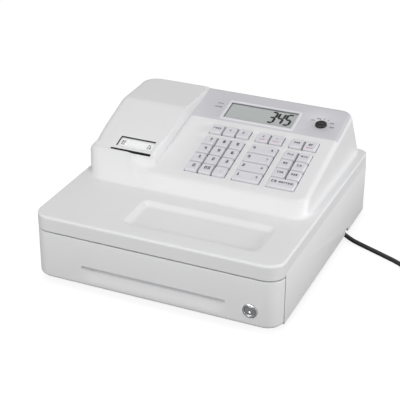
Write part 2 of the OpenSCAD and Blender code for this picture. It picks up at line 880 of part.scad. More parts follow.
module drawer_tub() {
  color("silver") difference() {
    union() {
      block(-tub_w / 2, tub_w / 2, tub_y0, tub_y1, tub_z, tub_top);
      for (side = [-1, 1]) {
        x0 = side < 0 ? -tub_w / 2 - runner_w : tub_w / 2 - eps;
        block(x0, x0 + runner_w + eps, tub_y0, tub_y1, runner_z, runner_z + steel_t);
      }
      difference() {
        block(-catch_w / 2, catch_w / 2, tub_y1 - eps, hook_y + 4 * hook_t, catch_z - steel_t, catch_z);
        block(-latch_w / 2 - 1, latch_w / 2 + 1, hook_y - 2 * hook_t, hook_y + 2.5 * hook_t, 0, base_h);
      }
    }
    block(-tub_w / 2 + tub_t, tub_w / 2 - tub_t, tub_y0 + tub_t, tub_y1 - tub_t, tub_z + tub_t,
      base_h);
  }
}

module cash_tray() {
  color("gainsboro") difference() {
    block(-tray_w / 2, tray_w / 2, tray_y0, tray_y1, tray_z, tray_top);
    for (i = [0:note_slots - 1]) {
      x0 = -tray_w / 2 + tray_t + i * (slot_w + tray_t);
      block(x0, x0 + slot_w, note_y0, note_y0 + note_d, tray_z + tray_t, base_h);
      for (j = [0:coin_rows - 1]) {
        y0 = tray_y0 + tray_t + j * (cup_d + tray_t);
        coin_cup(x0, y0);
      }
    }
    bar_x(-half_w, clip_y, clip_z, clip_axle + 2 * pin_fit, body_w);
  }
}

// Coin cup with a round bottom that runs across it
module coin_cup(x0, y0) {
  intersection() {
    block(x0, x0 + slot_w, y0, y0 + cup_d, tray_top - cup_h, base_h);
    union() {
      block(x0, x0 + slot_w, y0, y0 + cup_d, tray_top - cup_h + cup_d / 2, base_h);
      bar_x(x0, y0 + cup_d / 2, tray_top - cup_h + cup_d / 2, cup_d, slot_w);
    }
  }
}

module bill_clips() {
  color("darkgray") {
    bar_x(-tray_w / 2, clip_y, clip_z, clip_axle, tray_w);
    for (i = [0:note_slots - 1]) {
      x0 = -tray_w / 2 + tray_t + i * (slot_w + tray_t) + (slot_w - clip_w) / 2;
      translate([x0, clip_y, clip_z]) rotate([asin(clip_drop / clip_l), 0, 0]) {
        translate([0, -clip_l, -steel_t / 2]) cube([clip_w, clip_l, steel_t]);
        bar_x(0, 0, 0, clip_axle + 2 * steel_t, clip_w);
        bar_x(0, -clip_l, 0, clip_axle, clip_w);
      }
    }
  }
}

module drawer_rails() {
  x0 = tub_w / 2 + 2;
  x1 = roller_x + roller_w + pin_fit;
  color("silver") for (side = [0, 1]) {
    mirror([side, 0, 0]) {
      block(inner_x - steel_t, inner_x, case_front + wall, rail_y1, rail_z - rail_leg,
        rail_z + rail_leg);
      block(x0, inner_x, roller_y + roller_d, rail_y1, rail_z - steel_t, rail_z);
      bar_x(x0, roller_y, roller_z, axle_d, inner_x - x0);
      bar_x(x0, roller_y, roller_z, axle_d + 3, 1);
      bar_x(x1, roller_y, roller_z, axle_d + 3, inner_x - x1);
    }
  }
}

module drawer_rollers() {
  color("white") for (side = [0, 1]) {
    mirror([side, 0, 0]) difference() {
      bar_x(roller_x, roller_y, roller_z, roller_d, roller_w);
      bar_x(tub_w / 2, roller_y, roller_z, axle_d + 2 * pin_fit, 2 * roller_w);
    }
  }
}

module feet() {
  color("dimgray") for (x = [-foot_x, foot_x]) {
    for (y = [foot_y0, foot_y1]) {
      disc(x, y, 0, foot_d, foot_h);
      disc(x, y, foot_h - eps, foot_peg_d - 2 * pin_fit, foot_peg_h - fit);
    }
  }
}

module case_screws() {
  color("silver") for (x = SCREWS) {
    difference() {
      union() {
        bar_y(x, rear_y - screw_l, screw_z, screw_d - 2 * (fit + pin_fit), screw_l - head_h);
        bar_y(x, rear_y - head_h, screw_z, head_d, head_h);
      }
      block(x - cross_l / 2, x + cross_l / 2, rear_y - head_h / 2, rear_y + 1, screw_z - cross_w / 2,
        screw_z + cross_w / 2);
      block(x - cross_w / 2, x + cross_w / 2, rear_y - head_h / 2, rear_y + 1, screw_z - cross_l / 2,
        screw_z + cross_l / 2);
    }
  }
}

module display_panel() {
  color("lavender") on_deck() difference() {
    union() {
      translate([0, 0, -panel_t]) linear_extrude(panel_t) panel_plan(fit / 2);
      translate([0, 0, -panel_t]) linear_extrude(panel_t + rim_h)
        plan(lcd_x - lcd_w / 2 - rim_w, lcd_x + lcd_w / 2 + rim_w, lcd_s - lcd_l / 2 - rim_w,
          lcd_s + lcd_l / 2 + rim_w, 3, 3);
    }
    translate([lcd_x, lcd_s, deep]) hanging_box(lcd_w, lcd_l, 2 * deep);
    translate([rotor_x, rotor_s, -deep]) cylinder(d = rotor_d + 2 * fit, h = 2 * deep, $fn = arc_fn);
  }
}

module display_lenses() {
  color("lightblue", 0.35) {
    on_deck() translate([lcd_x, lcd_s, -0.4]) hanging_box(lcd_w - fit, lcd_l - fit, lens_t);
    on_rear() translate([rear_x, -rear_up, -0.2])
      hanging_box(rear_lcd_w - fit, rear_lcd_h - fit, lens_t);
  }
}

module lcd_modules() {
  color("darkseagreen") {
    on_deck() translate([lcd_x, lcd_s, -panel_t - wall]) {
      hanging_box(lcd_w + cell_edge, lcd_l + cell_edge, cell_h);
      translate([0, 0, 1.5]) hanging_box(lcd_w - 1, lcd_l - 1, 2);
    }
    on_rear() translate([rear_x, -rear_up, -wall - fit])
      hanging_box(rear_lcd_w + cell_edge, rear_lcd_h + cell_edge, cell_h);
  }
}

module mode_switch() {
  color("dimgray") on_deck() translate([rotor_x, rotor_s, -panel_t - wall - switch_h]) difference() {
    cylinder(d = switch_d, h = switch_h, $fn = arc_fn);
    translate([0, 0, switch_h - rotor_l - 1])
      cylinder(d = rotor_shaft + 2 * pin_fit, h = rotor_l + 2, $fn = arc_fn);
  }
}

module mode_rotor() {
  low = -panel_t - wall + 0.1;
  color("black") on_deck() translate([rotor_x, rotor_s, 0]) {
    translate([0, 0, low - rotor_l]) cylinder(d = rotor_shaft, h = rotor_l + eps, $fn = arc_fn);
    translate([0, 0, low]) cylinder(d = rotor_d, h = rotor_h - bar_h - low, $fn = arc_fn);
    intersection() {
      translate([-rotor_d / 2, -bar_w / 2, 0]) cube([rotor_d, bar_w, rotor_h]);
      cylinder(d = rotor_d - 2, h = rotor_h, $fn = arc_fn);
    }
  }
}

module main_board() {
  color("seagreen") {
    block(board_x0, board_x1, board_y0, board_y1, board_z, board_z + board_t);
    for (x = [board_x0 + post_d, board_x1 - post_d]) {
      for (y = [board_y0 + post_d, board_y1 - post_d]) {
        disc(x, y, plate_top, post_d, board_z - plate_top + eps);
      }
    }
    for (c = CHIPS) {
      block(board_x0 + c[0], board_x0 + c[0] + c[2], board_y0 + c[1], board_y0 + c[1] + c[3],
        board_z, board_z + c[4]);
    }
    for (i = [0:2]) {
      disc(board_x1 - can_inset - i * (can_d + can_gap), board_y1 - can_inset, board_z, can_d, can_h);
    }
  }
}

module keyboard_board() {
  edge = 4;
  x0 = pad_x - pad_w / 2 - edge;
  x1 = total_x + pair_w / 2 + edge;
  s0 = row_start - row_pitch / 2 - edge;
  s1 = fn_row + row_pitch / 2 + edge;
  color("seagreen") on_deck() {
    translate([x0, s0, kb_top - board_t]) cube([x1 - x0, s1 - s0, board_t]);
    translate([x0 + 2, s0 + 2, kb_top - eps]) cube([x1 - x0 - 4, s1 - s0 - 4, mat_t + eps]);
    for (x = [x0 + edge, dept_x - (pair_w + block_gap) / 2 + 1, x1 - edge]) {
      for (s = [s0 + edge, (row_s(3) + fn_row) / 2 + 1]) {
        translate([x, s, kb_top - eps])
          cylinder(d = edge, h = -well_h - well_floor_t - kb_top + eps, $fn = arc_fn);
      }
    }
  }
}

module printer_frame() {
  right = cheek_x1 + cheek_t;
  color("dimgray") difference() {
    union() {
      block(cheek_x0, right, frame_y0, frame_y1, plate_top, plate_top + cheek_t);
      for (x = [cheek_x0, cheek_x1]) {
        block(x, x + cheek_t, frame_y0, platen_y + head_gap, plate_top, platen_z + shaft_d);
        block(x, x + cheek_t, roll_y - spindle_d - 4, roll_y + spindle_d + 4, plate_top,
          roll_z + spindle_d);
        block(x, x + cheek_t, frame_y0, frame_y1, plate_top, plate_top + sill_h);
      }
      block(cheek_x0, right, platen_y - platen_d / 2 - head_t - 2, platen_y - platen_d / 2 - 2, plate_top,
        platen_z + 4);
      block(cheek_x0, right, platen_y + head_gap - head_t, platen_y + head_gap, platen_z - sill_h,
        platen_z);
    }
    bar_x(-half_w, platen_y, platen_z, shaft_d + 2 * pin_fit, body_w);
    bar_x(-half_w, roll_y, roll_z, spindle_d + 2 * pin_fit, body_w);
  }
}

module feed_motor() {
  color("gray") {
    bar_x(cheek_x0 - motor_l, motor_y, motor_z, motor_d, motor_l);
    block(cheek_x0 - 1, cheek_x0, motor_y - flange_w / 2, motor_y + flange_w / 2,
      motor_z - flange_h / 2, motor_z + flange_h / 2);
  }
}

module platen_roller() {
  color("black") {
    bar_x(gear_x - 1, platen_y, platen_z, shaft_d, cheek_x1 + cheek_t + 2 - gear_x);
    bar_x(cheek_x0 + cheek_t + 0.5, platen_y, platen_z, platen_d, cheek_gap - 1);
    bar_x(gear_x, platen_y, platen_z, gear_d, gear_t);
  }
}

module paper_roll() {
  color("white") {
    bar_x(paper_x - paper_w / 2, roll_y, roll_z, roll_d, paper_w);
    bar_x(cheek_x0 - 2, roll_y, roll_z, spindle_d, cheek_gap + 2 * cheek_t + 4);
  }
}

// Key cap on its stem; wide caps cover two places
module key(i) {
  c = CAPS[i];
  w = c[2] * key_pitch - key_gap;
  cap_low = -well_h + key_travel + fit;
  color("gainsboro") on_deck() translate([c[0], c[1], 0]) {
    hull() {
      translate([0, 0, cap_low + 2]) hanging_box(w, cap_w, 2);
      translate([0, 0, cap_low + key_h]) hanging_box(w - 3, cap_w - 3.4, 1);
    }
    translate([0, 0, cap_low + eps]) hanging_box(stem_w, stem_w, cap_low - stem_low);
  }
}

module cord_gland() {
  color("black") {
    block(gland_x - gland_w / 2, gland_x, gland_y - gland_w / 2, gland_y + gland_w / 2,
      gland_z - cord_r - 2, floor_z);
    translate([gland_x - eps, gland_y, gland_z]) rotate([0, 90, 0])
      cylinder(d1 = cord_d + 4, d2 = cord_d + 1, h = gland_l, $fn = arc_fn);
  }
}

// Ring of the tube at point i, square to the path there
function path_dir(p, i) = let (a = p[max(i - 1, 0)], b = p[min(i + 1, len(p) - 1)])
  (b - a) / norm(b - a);
function ring(p, i) = let (d = path_dir(p, i), s = cross([0, 0, 1], d), side = s / norm(s),
  up = cross(d, side)) [for (k = [0:tube_sides - 1])
    p[i] + cord_r * (cos(k * 360 / tube_sides) * side + sin(k * 360 / tube_sides) * up)];
module tube(p) {
  n = len(p);
  m = tube_sides;
  points = [for (i = [0:n - 1]) each ring(p, i)];
  sides = [for (i = [0:n - 2]) for (k = [0:m - 1])
    [i * m + k, (i + 1) * m + k, (i + 1) * m + (k + 1) % m, i * m + (k + 1) % m]];
  ends = [[for (k = [0:m - 1]) k], [for (k = [m - 1:-1:0]) (n - 1) * m + k]];
  polyhedron(points, concat(sides, ends));
}

module cord_run() {
  color("black") tube(CORD);
}

module cord_coil() {
  color("black") translate([coil_x, coil_y, 0]) rotate_extrude($fn = arc_fn)
    translate([coil_r - coil_half, 0]) square([2 * coil_half, coil_h]);
}

module plug() {
  color("black") {
    translate([tail_x, tail_y, plug_t / 2]) rotate([-90, 0, 0])
      cylinder(d1 = cord_d, d2 = cord_d + 5, h = tail_l, $fn = arc_fn);
    translate([tail_x, tail_y + tail_l - eps, 0]) linear_extrude(plug_t)
      plan(-plug_w / 2, plug_w / 2, 0, plug_l, 6, 2);
    for (side = [-1, 1]) {
      bar_y(tail_x + side * pin_gap / 2, tail_y + tail_l + plug_l - 2 * eps, plug_t / 2, pin_d, pin_l);
    }
  }
}

lower_case();
top_case();
chassis_plate();
printer_cover();
receipt_window();
display_panel();
display_lenses();
lcd_modules();
mode_switch();
mode_rotor();
main_board();
keyboard_board();
printer_frame();
feed_motor();
platen_roller();
paper_roll();
drawer_front();
drawer_tub();
cash_tray();
bill_clips();
lock_barrel();
drawer_rails();
drawer_rollers();
drawer_latch();
feet();
case_screws();
cord_gland();
cord_run();
cord_coil();
plug();
for (i = [0:len(CAP_NODES) - 1]) {
  key(i);
}
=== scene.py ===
import math

import bmesh
import bpy
from mathutils import Matrix, Vector, geometry


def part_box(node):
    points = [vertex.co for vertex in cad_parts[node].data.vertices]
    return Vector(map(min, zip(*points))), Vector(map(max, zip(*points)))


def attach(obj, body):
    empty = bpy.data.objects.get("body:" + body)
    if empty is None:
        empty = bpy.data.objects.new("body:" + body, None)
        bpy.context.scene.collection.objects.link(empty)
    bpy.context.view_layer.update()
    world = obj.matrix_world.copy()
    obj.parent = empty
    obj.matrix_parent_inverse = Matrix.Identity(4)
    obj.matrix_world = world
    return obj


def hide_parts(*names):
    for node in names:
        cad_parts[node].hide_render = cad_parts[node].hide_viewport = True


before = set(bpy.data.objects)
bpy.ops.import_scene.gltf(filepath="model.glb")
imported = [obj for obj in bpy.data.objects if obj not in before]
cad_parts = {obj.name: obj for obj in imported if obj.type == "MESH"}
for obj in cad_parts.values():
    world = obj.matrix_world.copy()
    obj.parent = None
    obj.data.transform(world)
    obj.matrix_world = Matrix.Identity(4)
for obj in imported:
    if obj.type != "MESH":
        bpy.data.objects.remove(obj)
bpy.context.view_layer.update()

# ---- Camera and studio -------------------------------------------------------------------------
# A long lens looks down on the register from its front right, as a catalogue picture does.
# The floor and the air around it are white; three soft boxes and the pale room light the plastic.

MM = 0.001
bpy.context.scene.view_settings.view_transform = "Standard"


def linear(hex_colour):
    """An sRGB hex colour as linear red, green, blue and an alpha of 1"""
    parts = [int(hex_colour[k:k + 2], 16) / 255 for k in (1, 3, 5)]
    return [p / 12.92 if p <= 0.04045 else ((p + 0.055) / 1.055) ** 2.4 for p in parts] + [1]


def add(tree, kind, inputs=None, **settings):
    """Adds one node to a tree; its inputs take plain values or other nodes' outputs"""
    made = tree.nodes.new(kind)
    for name, value in settings.items():
        setattr(made, name, value)
    for name, value in (inputs or {}).items():
        if isinstance(value, bpy.types.NodeSocket):
            tree.links.new(value, made.inputs[name])
        else:
            made.inputs[name].default_value = value
    return made


def blank_material(name):
    material = bpy.data.materials.new(name)
    material.use_nodes = True
    material.node_tree.nodes.clear()
    return material, material.node_tree


def blend(tree, share, dark, light):
    """Colour between two close tones"""
    return add(tree, "ShaderNodeMix", {0: share, 6: linear(dark), 7: linear(light)},
               data_type="RGBA").outputs[2]


lens = bpy.data.cameras.new("camera")
lens.lens = 105.93
lens.sensor_width = 36
lens.clip_end = 20
camera = bpy.data.objects.new("camera", lens)
camera.location = Vector((543.7, -1271.1, 787.5)) * MM
camera.rotation_euler = [math.radians(a) for a in (62.451, -0.277, 23.779)]
bpy.context.scene.collection.objects.link(camera)
bpy.context.scene.camera = camera


def soft_box(name, place, aim, size, power):
    """A square studio lamp that faces the point aim; places in metres"""
    lamp = bpy.data.lights.new(name, "AREA")
    lamp.shape = "SQUARE"
    lamp.size = size
    lamp.energy = power
    box = bpy.data.objects.new(name, lamp)
    box.location = place
    box.rotation_euler = (Vector(aim) - Vector(place)).to_track_quat("-Z", "Y").to_euler()
    bpy.context.scene.collection.objects.link(box)


soft_box("front_light", (-0.2, -1.6, 0.6), (0, 0, 0.1), 1.3, 16.7)
soft_box("top_light", (0, 0.1, 2.0), (0, 0, 0.1), 1.5, 13.4)
soft_box("side_light", (1.6, 0.2, 0.27), (0, 0, 0.1), 0.8, 18.2)

WHITE = linear("#FFFFFF")
ROOM_LIGHT = 0.39
FLOOR_GLOW = 0.82

world = bpy.data.worlds.new("studio")
world.use_nodes = True
sky = world.node_tree
sky.nodes.clear()
light_path = add(sky, "ShaderNodeLightPath")
seen = add(sky, "ShaderNodeMath", {0: light_path.outputs["Is Camera Ray"],
                                   1: light_path.outputs["Is Transmission Ray"]}, operation="MAXIMUM")
room = add(sky, "ShaderNodeBackground", {"Color": WHITE, "Strength": ROOM_LIGHT})
backdrop = add(sky, "ShaderNodeBackground", {"Color": WHITE, "Strength": 1.0})
air = add(sky, "ShaderNodeMixShader", {0: seen.outputs[0], 1: room.outputs[0],
                                       2: backdrop.outputs[0]})
add(sky, "ShaderNodeOutputWorld", {"Surface": air.outputs[0]})
bpy.context.scene.world = world

# The paper sweep is seen white, but throws back no more light than a mid grey
floor_material, tree = blank_material("white_paper_sweep")
ray = add(tree, "ShaderNodeLightPath").outputs["Is Camera Ray"]
lit = add(tree, "ShaderNodeBsdfDiffuse", {"Color": blend(tree, ray, "#808080", "#8C8C8C"),
                                          "Roughness": 0.5})
glow = add(tree, "ShaderNodeEmission", {"Color": WHITE, "Strength": FLOOR_GLOW})
lifted = add(tree, "ShaderNodeAddShader", {0: lit.outputs[0], 1: glow.outputs[0]})
mixed = add(tree, "ShaderNodeMixShader", {0: ray, 1: lit.outputs[0], 2: lifted.outputs[0]})
add(tree, "ShaderNodeOutputMaterial", {"Surface": mixed.outputs[0]})
sheet_mesh = bmesh.new()
bmesh.ops.create_grid(sheet_mesh, x_segments=1, y_segments=1, size=6)
floor_mesh = bpy.data.meshes.new("floor")
sheet_mesh.to_mesh(floor_mesh)
floor = bpy.data.objects.new("floor", floor_mesh)
floor.location.z = -0.0005
floor.data.materials.append(floor_material)
bpy.context.scene.collection.objects.link(floor)

# ---- Mains cord --------------------------------------------------------------------------------
# A round black PVC-sheathed flex of 5.9 mm. It comes out of its gland under the floor, leaves
# through a notch in the right side, and what is left over is wound in a coil that ends in the plug.

CORD_D = 5.9
REST_Z = 3
LAYER = 6
ROUTE = [(152, 93, 9.5), (160, 90.5, 7.4), (168, 87.2, 5), (176, 83.6, 3.6), (185, 79.6, 3.1),
         (198, 73.8, 3), (213, 67.2, 3), (228, 60.4, 3), (243, 53.5, 3), (258, 45, 3), (274, 35.5, 3),
         (288, 27, 3)]
COIL = Vector((311, 62))
COIL_RINGS = (42, 36, 30, 24)
STEP_DOWN = (0.85, 1.0)
STEP_OUT = (0.4, 0.6)
RISE = (3.6, 3.85)
TAIL_Y = 80
COIL_TURNS = 7
TURN_STEPS = 24


def ease(value, start, end):
    """Runs smoothly from 0 to 1 between start and end"""
    part = min(max((value - start) / (end - start), 0), 1)
    return part * part * (3 - 2 * part)


def coil_point(turn, first_angle):
    """Point of the coil after so many turns: inwards on the floor, then outwards on top of itself"""
    pitch = COIL_RINGS[0] - COIL_RINGS[1]
    radius = COIL_RINGS[0]
    for ring in range(3):
        radius -= pitch * ease(turn, ring + STEP_DOWN[0], ring + STEP_DOWN[1])
        radius += pitch * ease(turn, 4 + ring + STEP_OUT[0], 4 + ring + STEP_OUT[1])
    angle = first_angle + turn * math.tau
    height = REST_Z + LAYER * ease(turn, *RISE)
    return (COIL.x + radius * math.cos(angle), COIL.y + radius * math.sin(angle), height)


first = math.atan2(ROUTE[-1][1] - COIL.y, ROUTE[-1][0] - COIL.x)
turns = COIL_TURNS - first / math.tau
samples = round(turns * TURN_STEPS)
wound = [coil_point(turns * k / samples, first) for k in range(1, samples + 1)]
tail = [(COIL.x + COIL_RINGS[0], y, REST_Z + LAYER) for y in (COIL.y + 6, COIL.y + 12, TAIL_Y)]
route = [Vector(p) * MM for p in ROUTE + wound + tail]

flex_data = bpy.data.curves.new("mains_cord", "CURVE")
flex_data.dimensions = "3D"
flex_data.bevel_depth = CORD_D / 2 * MM
flex_data.bevel_resolution = 5
flex_data.resolution_u = 2
flex_data.use_fill_caps = True
strand = flex_data.splines.new("BEZIER")
strand.bezier_points.add(len(route) - 1)
for k, point in enumerate(route):
    knot = strand.bezier_points[k]
    knot.co = point
    before = route[max(k - 1, 0)]
    after = route[min(k + 1, len(route) - 1)]
    along = (after - before).normalized()
    knot.handle_left = point - along * (point - before).length / 3
    knot.handle_right = point + along * (after - point).length / 3
cord = bpy.data.objects.new("mains_cord", flex_data)
bpy.context.scene.collection.objects.link(cord)


def grained(tree, size, detail, roughness):
    """Cloudy pattern whose patches are so many millimetres across"""
    where = add(tree, "ShaderNodeTexCoord")
    return add(tree, "ShaderNodeTexNoise", {
        "Vector": where.outputs["Object"], "Scale": 1 / (size * MM), "Detail": detail,
        "Roughness": roughness}).outputs["Fac"]


def spread(tree, share, low, high):
    """Roughness between two values"""
    return add(tree, "ShaderNodeMapRange", {0: share, 3: low, 4: high}).outputs[0]


def bumps(tree, height, strength, depth):
    """Normal of a relief so many millimetres deep"""
    return add(tree, "ShaderNodeBump", {
        "Height": height, "Strength": strength, "Distance": depth * MM}).outputs[0]


def surface(tree, inputs):
    """Ends a tree with its shader"""
    shader = add(tree, "ShaderNodeBsdfPrincipled", inputs)
    add(tree, "ShaderNodeOutputMaterial", {"Surface": shader.outputs[0]})


# Extruded PVC: near black, a soft sheen, and a faint ripple from the cores inside
pvc, tree = blank_material("extruded_pvc_sheath")
ripple = grained(tree, 6, 3.0, 0.55)
surface(tree, {"Base Color": blend(tree, ripple, "#141415", "#242426"), "IOR": 1.53,
               "Roughness": spread(tree, ripple, 0.38, 0.55),
               "Normal": bumps(tree, ripple, 0.25, 0.1)})
cord.data.materials.append(pvc)
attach(cord, "cabinet")
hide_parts("cord_run", "cord_coil")

# ---- Top case ----------------------------------------------------------------------------------
# One ABS moulding of 2.5 mm: the lid with its coin dish, and the console that carries keyboard and
# display. It is screwed to the chassis plate from behind; the printer cover closes its left side.

WALL = 2.5
SIDE_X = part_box("lower_case")[1][0] / MM
REAR_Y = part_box("lower_case")[1][1] / MM
FACE_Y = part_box("drawer_front")[0][1] / MM
SHOULDER_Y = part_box("drawer_front")[1][1] / MM
LID_TOP = 95
SKIRT_LOW = 78.5
LIP_LOW = 75.2
LID_ROUND = 3
DECK_TILT = math.radians(13.6)
DECK_Y = -44
DECK_Z = 114
RIDGE_Y = 152
NOSE_Y = -31
NOSE_Z = 126.5
SLOPE = math.radians(18.6)
BEND_Y = 70
BEND_Z = 160.5
CROWN_RISE = 1.5 / (RIDGE_Y - BEND_Y)
VALLEY_X = -63.7
CONSOLE_ROUND = 7
FOOT_ROUND = 5
FOOT = (-157, 152, -56, REAR_Y - 1.9, (30, 22, 10, 10))
CROWN = (-163, 148.5, NOSE_Y, RIDGE_Y, (17, 19, 18, 24))
SIDE_POINTS = (96, 14, 64, 70)
COVER_LOW = 119
COVER_FRONT = -25.3


def rounded(x0, x1, y0, y1, radii, steps=8):
    """Anticlockwise outline with rounded corners: front left, front right, rear right, rear left"""
    corners = [(x0, y0, 1, 1), (x1, y0, -1, 1), (x1, y1, -1, -1), (x0, y1, 1, -1)]
    outline = []
    for turn, ((x, y, in_x, in_y), r) in enumerate(zip(corners, radii)):
        for k in range(steps + 1):
            angle = math.pi + (turn + k / steps) * math.pi / 2
            outline.append(Vector((x + in_x * r + r * math.cos(angle),
                                   y + in_y * r + r * math.sin(angle))))
    return outline


def circle(x, y, radius, steps=48):
    return [Vector((x + radius * math.cos(k * math.tau / steps),
                    y + radius * math.sin(k * math.tau / steps))) for k in range(steps)]


def box_outline(box, radius, steps=4, inset=0):
    """Outline of a box (x0, x1, y0, y1) with equal corners, drawn in by an inset"""
    x0, x1, y0, y1 = box
    return rounded(x0 + inset, x1 - inset, y0 + inset, y1 - inset, (radius,) * 4, steps)


def subdivide(outline, counts, steps=8):
    """Adds evenly spaced points on the four sides of a rounded outline"""
    dense = []
    for side in range(4):
        corner = outline[side * (steps + 1):(side + 1) * (steps + 1)]
        after = outline[((side + 1) * (steps + 1)) % len(outline)]
        dense += corner
        dense += [corner[-1].lerp(after, k / counts[side]) for k in range(1, counts[side])]
    return dense


def mix(a, b, share):
    """Value between a and b"""
    return a + (b - a) * share


def smooth_min(a, b, soft):
    """The lower of two values, eased where they meet"""
    near = max(soft - abs(a - b), 0) / soft
    return min(a, b) - near * near * soft / 4


def through(knots, t):
    """Smooth curve through (t, value) knots"""
    for k in range(len(knots) - 1):
        (t0, a), (t1, b) = knots[k], knots[k + 1]
        if t <= t1 or k == len(knots) - 2:
            before = knots[max(k - 1, 0)]
            after = knots[min(k + 2, len(knots) - 1)]
            slope_a = (b - before[1]) / (t1 - before[0])
            slope_b = (after[1] - a) / (after[0] - t0)
            u = min(max((t - t0) / (t1 - t0), 0), 1)
            span = t1 - t0
            return ((2 * u ** 3 - 3 * u ** 2 + 1) * a + (u ** 3 - 2 * u ** 2 + u) * span * slope_a
                    + (3 * u ** 2 - 2 * u ** 3) * b + (u ** 3 - u ** 2) * span * slope_b)


# The printer's shoulder comes down to the deck: its upper edge wanders across the console
SHOULDER = [(-44, -112), (-36, -104), (-31, -88), (-27, -72.5), (-22, -70.6), (-6, -69.5),
            (8, -66.5), (30, -65), (152, -64.7)]


def deck_height(y):
    return DECK_Z + (y - DECK_Y) * math.tan(DECK_TILT)


def hump_height(y):
    return smooth_min(NOSE_Z + (y - NOSE_Y) * math.tan(SLOPE), BEND_Z + (y - BEND_Y) * CROWN_RISE, 1.5)


def hump_share(x, y):
    """1 on the printer's hump, 0 on the deck, in between on the flank that joins them"""
    if x >= VALLEY_X:
        return 0
    return ease((VALLEY_X - x) / (VALLEY_X - through(SHOULDER, y)), 0, 1.1)


def console_height(x, y):
    """Height of the console's upper surface: printer at the left, deck at the right"""
    deck = deck_height(y)
    return deck + (hump_height(y) - deck) * hump_share(x, y)


def console_normal(x, y):
    reach = 0.4
    tilt_x = (console_height(x + reach, y) - console_height(x - reach, y)) / (2 * reach)
    tilt_y = (console_height(x, y + reach) - console_height(x, y - reach)) / (2 * reach)
    return Vector((-tilt_x, -tilt_y, 1)).normalized()


def fillet(corner, normal_a, normal_b, radius, steps, hollow=False):
    """Points of the arc that rounds the corner between two faces, from face a to face b"""
    middle = (normal_a + normal_b) * (radius / (1 + normal_a.dot(normal_b)))
    centre = corner + middle if hollow else corner - middle
    sign = -1 if hollow else 1
    return [centre + sign * radius * normal_a.slerp(normal_b, k / steps) for k in range(steps + 1)]


def skin_rings(mesh, rings):
    """Skins a stack of closed rings of points and returns their vertices"""
    made = [[mesh.verts.new(p) for p in ring] for ring in rings]
    for low, high in zip(made, made[1:]):
        for k in range(len(low)):
            j = (k + 1) % len(low)
            mesh.faces.new((low[k], low[j], high[j], high[k]))
    return made


def close_rings(mesh, rings):
    """Skins a stack of rings and closes both its ends"""
    made = skin_rings(mesh, rings)
    mesh.faces.new(made[-1])
    mesh.faces.new(made[0][::-1])


def inside(point, outline):
    """Whether a point lies within an outline, by the crossings to its right"""
    hit = False
    for a, b in zip(outline, outline[1:] + outline[:1]):
        if (a[1] > point[1]) != (b[1] > point[1]):
            if point[0] < a[0] + (point[1] - a[1]) * (b[0] - a[0]) / (b[1] - a[1]):
                hit = not hit
    return hit


APART = 1.2


def fill(mesh, outer, holes, height, extra=()):
    """Closes the plan between an outer loop of vertices and the loops of its holes"""
    loops = [outer] + holes
    flats = [[v.co.xy.copy() for v in loop] for loop in loops]
    known = [v for loop in loops for v in loop]
    points = [p for flat in flats for p in flat]
    edges = []
    for loop in loops:
        first_index = len(edges)
        edges += [(first_index + k, first_index + (k + 1) % len(loop)) for k in range(len(loop))]
    for p in extra:
        near = min((p - q).length_squared for q in points[:len(known)])
        if near > APART and inside(p, flats[0]) and not any(inside(p, flat) for flat in flats[1:]):
            points.append(p)
    placed, _, faces, origin, _, _ = geometry.delaunay_2d_cdt(points, edges, [], 0, 1e-5)
    corners = []
    for p, source in zip(placed, origin):
        old = [k for k in source if k < len(known)]
        corners.append(known[old[0]] if old else mesh.verts.new((p.x, p.y, height(p.x, p.y))))
    for face in faces:
        middle = sum((placed[k] for k in face), Vector((0, 0))) / len(face)
        if inside(middle, flats[0]) and not any(inside(middle, flat) for flat in flats[1:]):
            if len({corners[k] for k in face}) == len(face):
                mesh.faces.new([corners[k] for k in face])


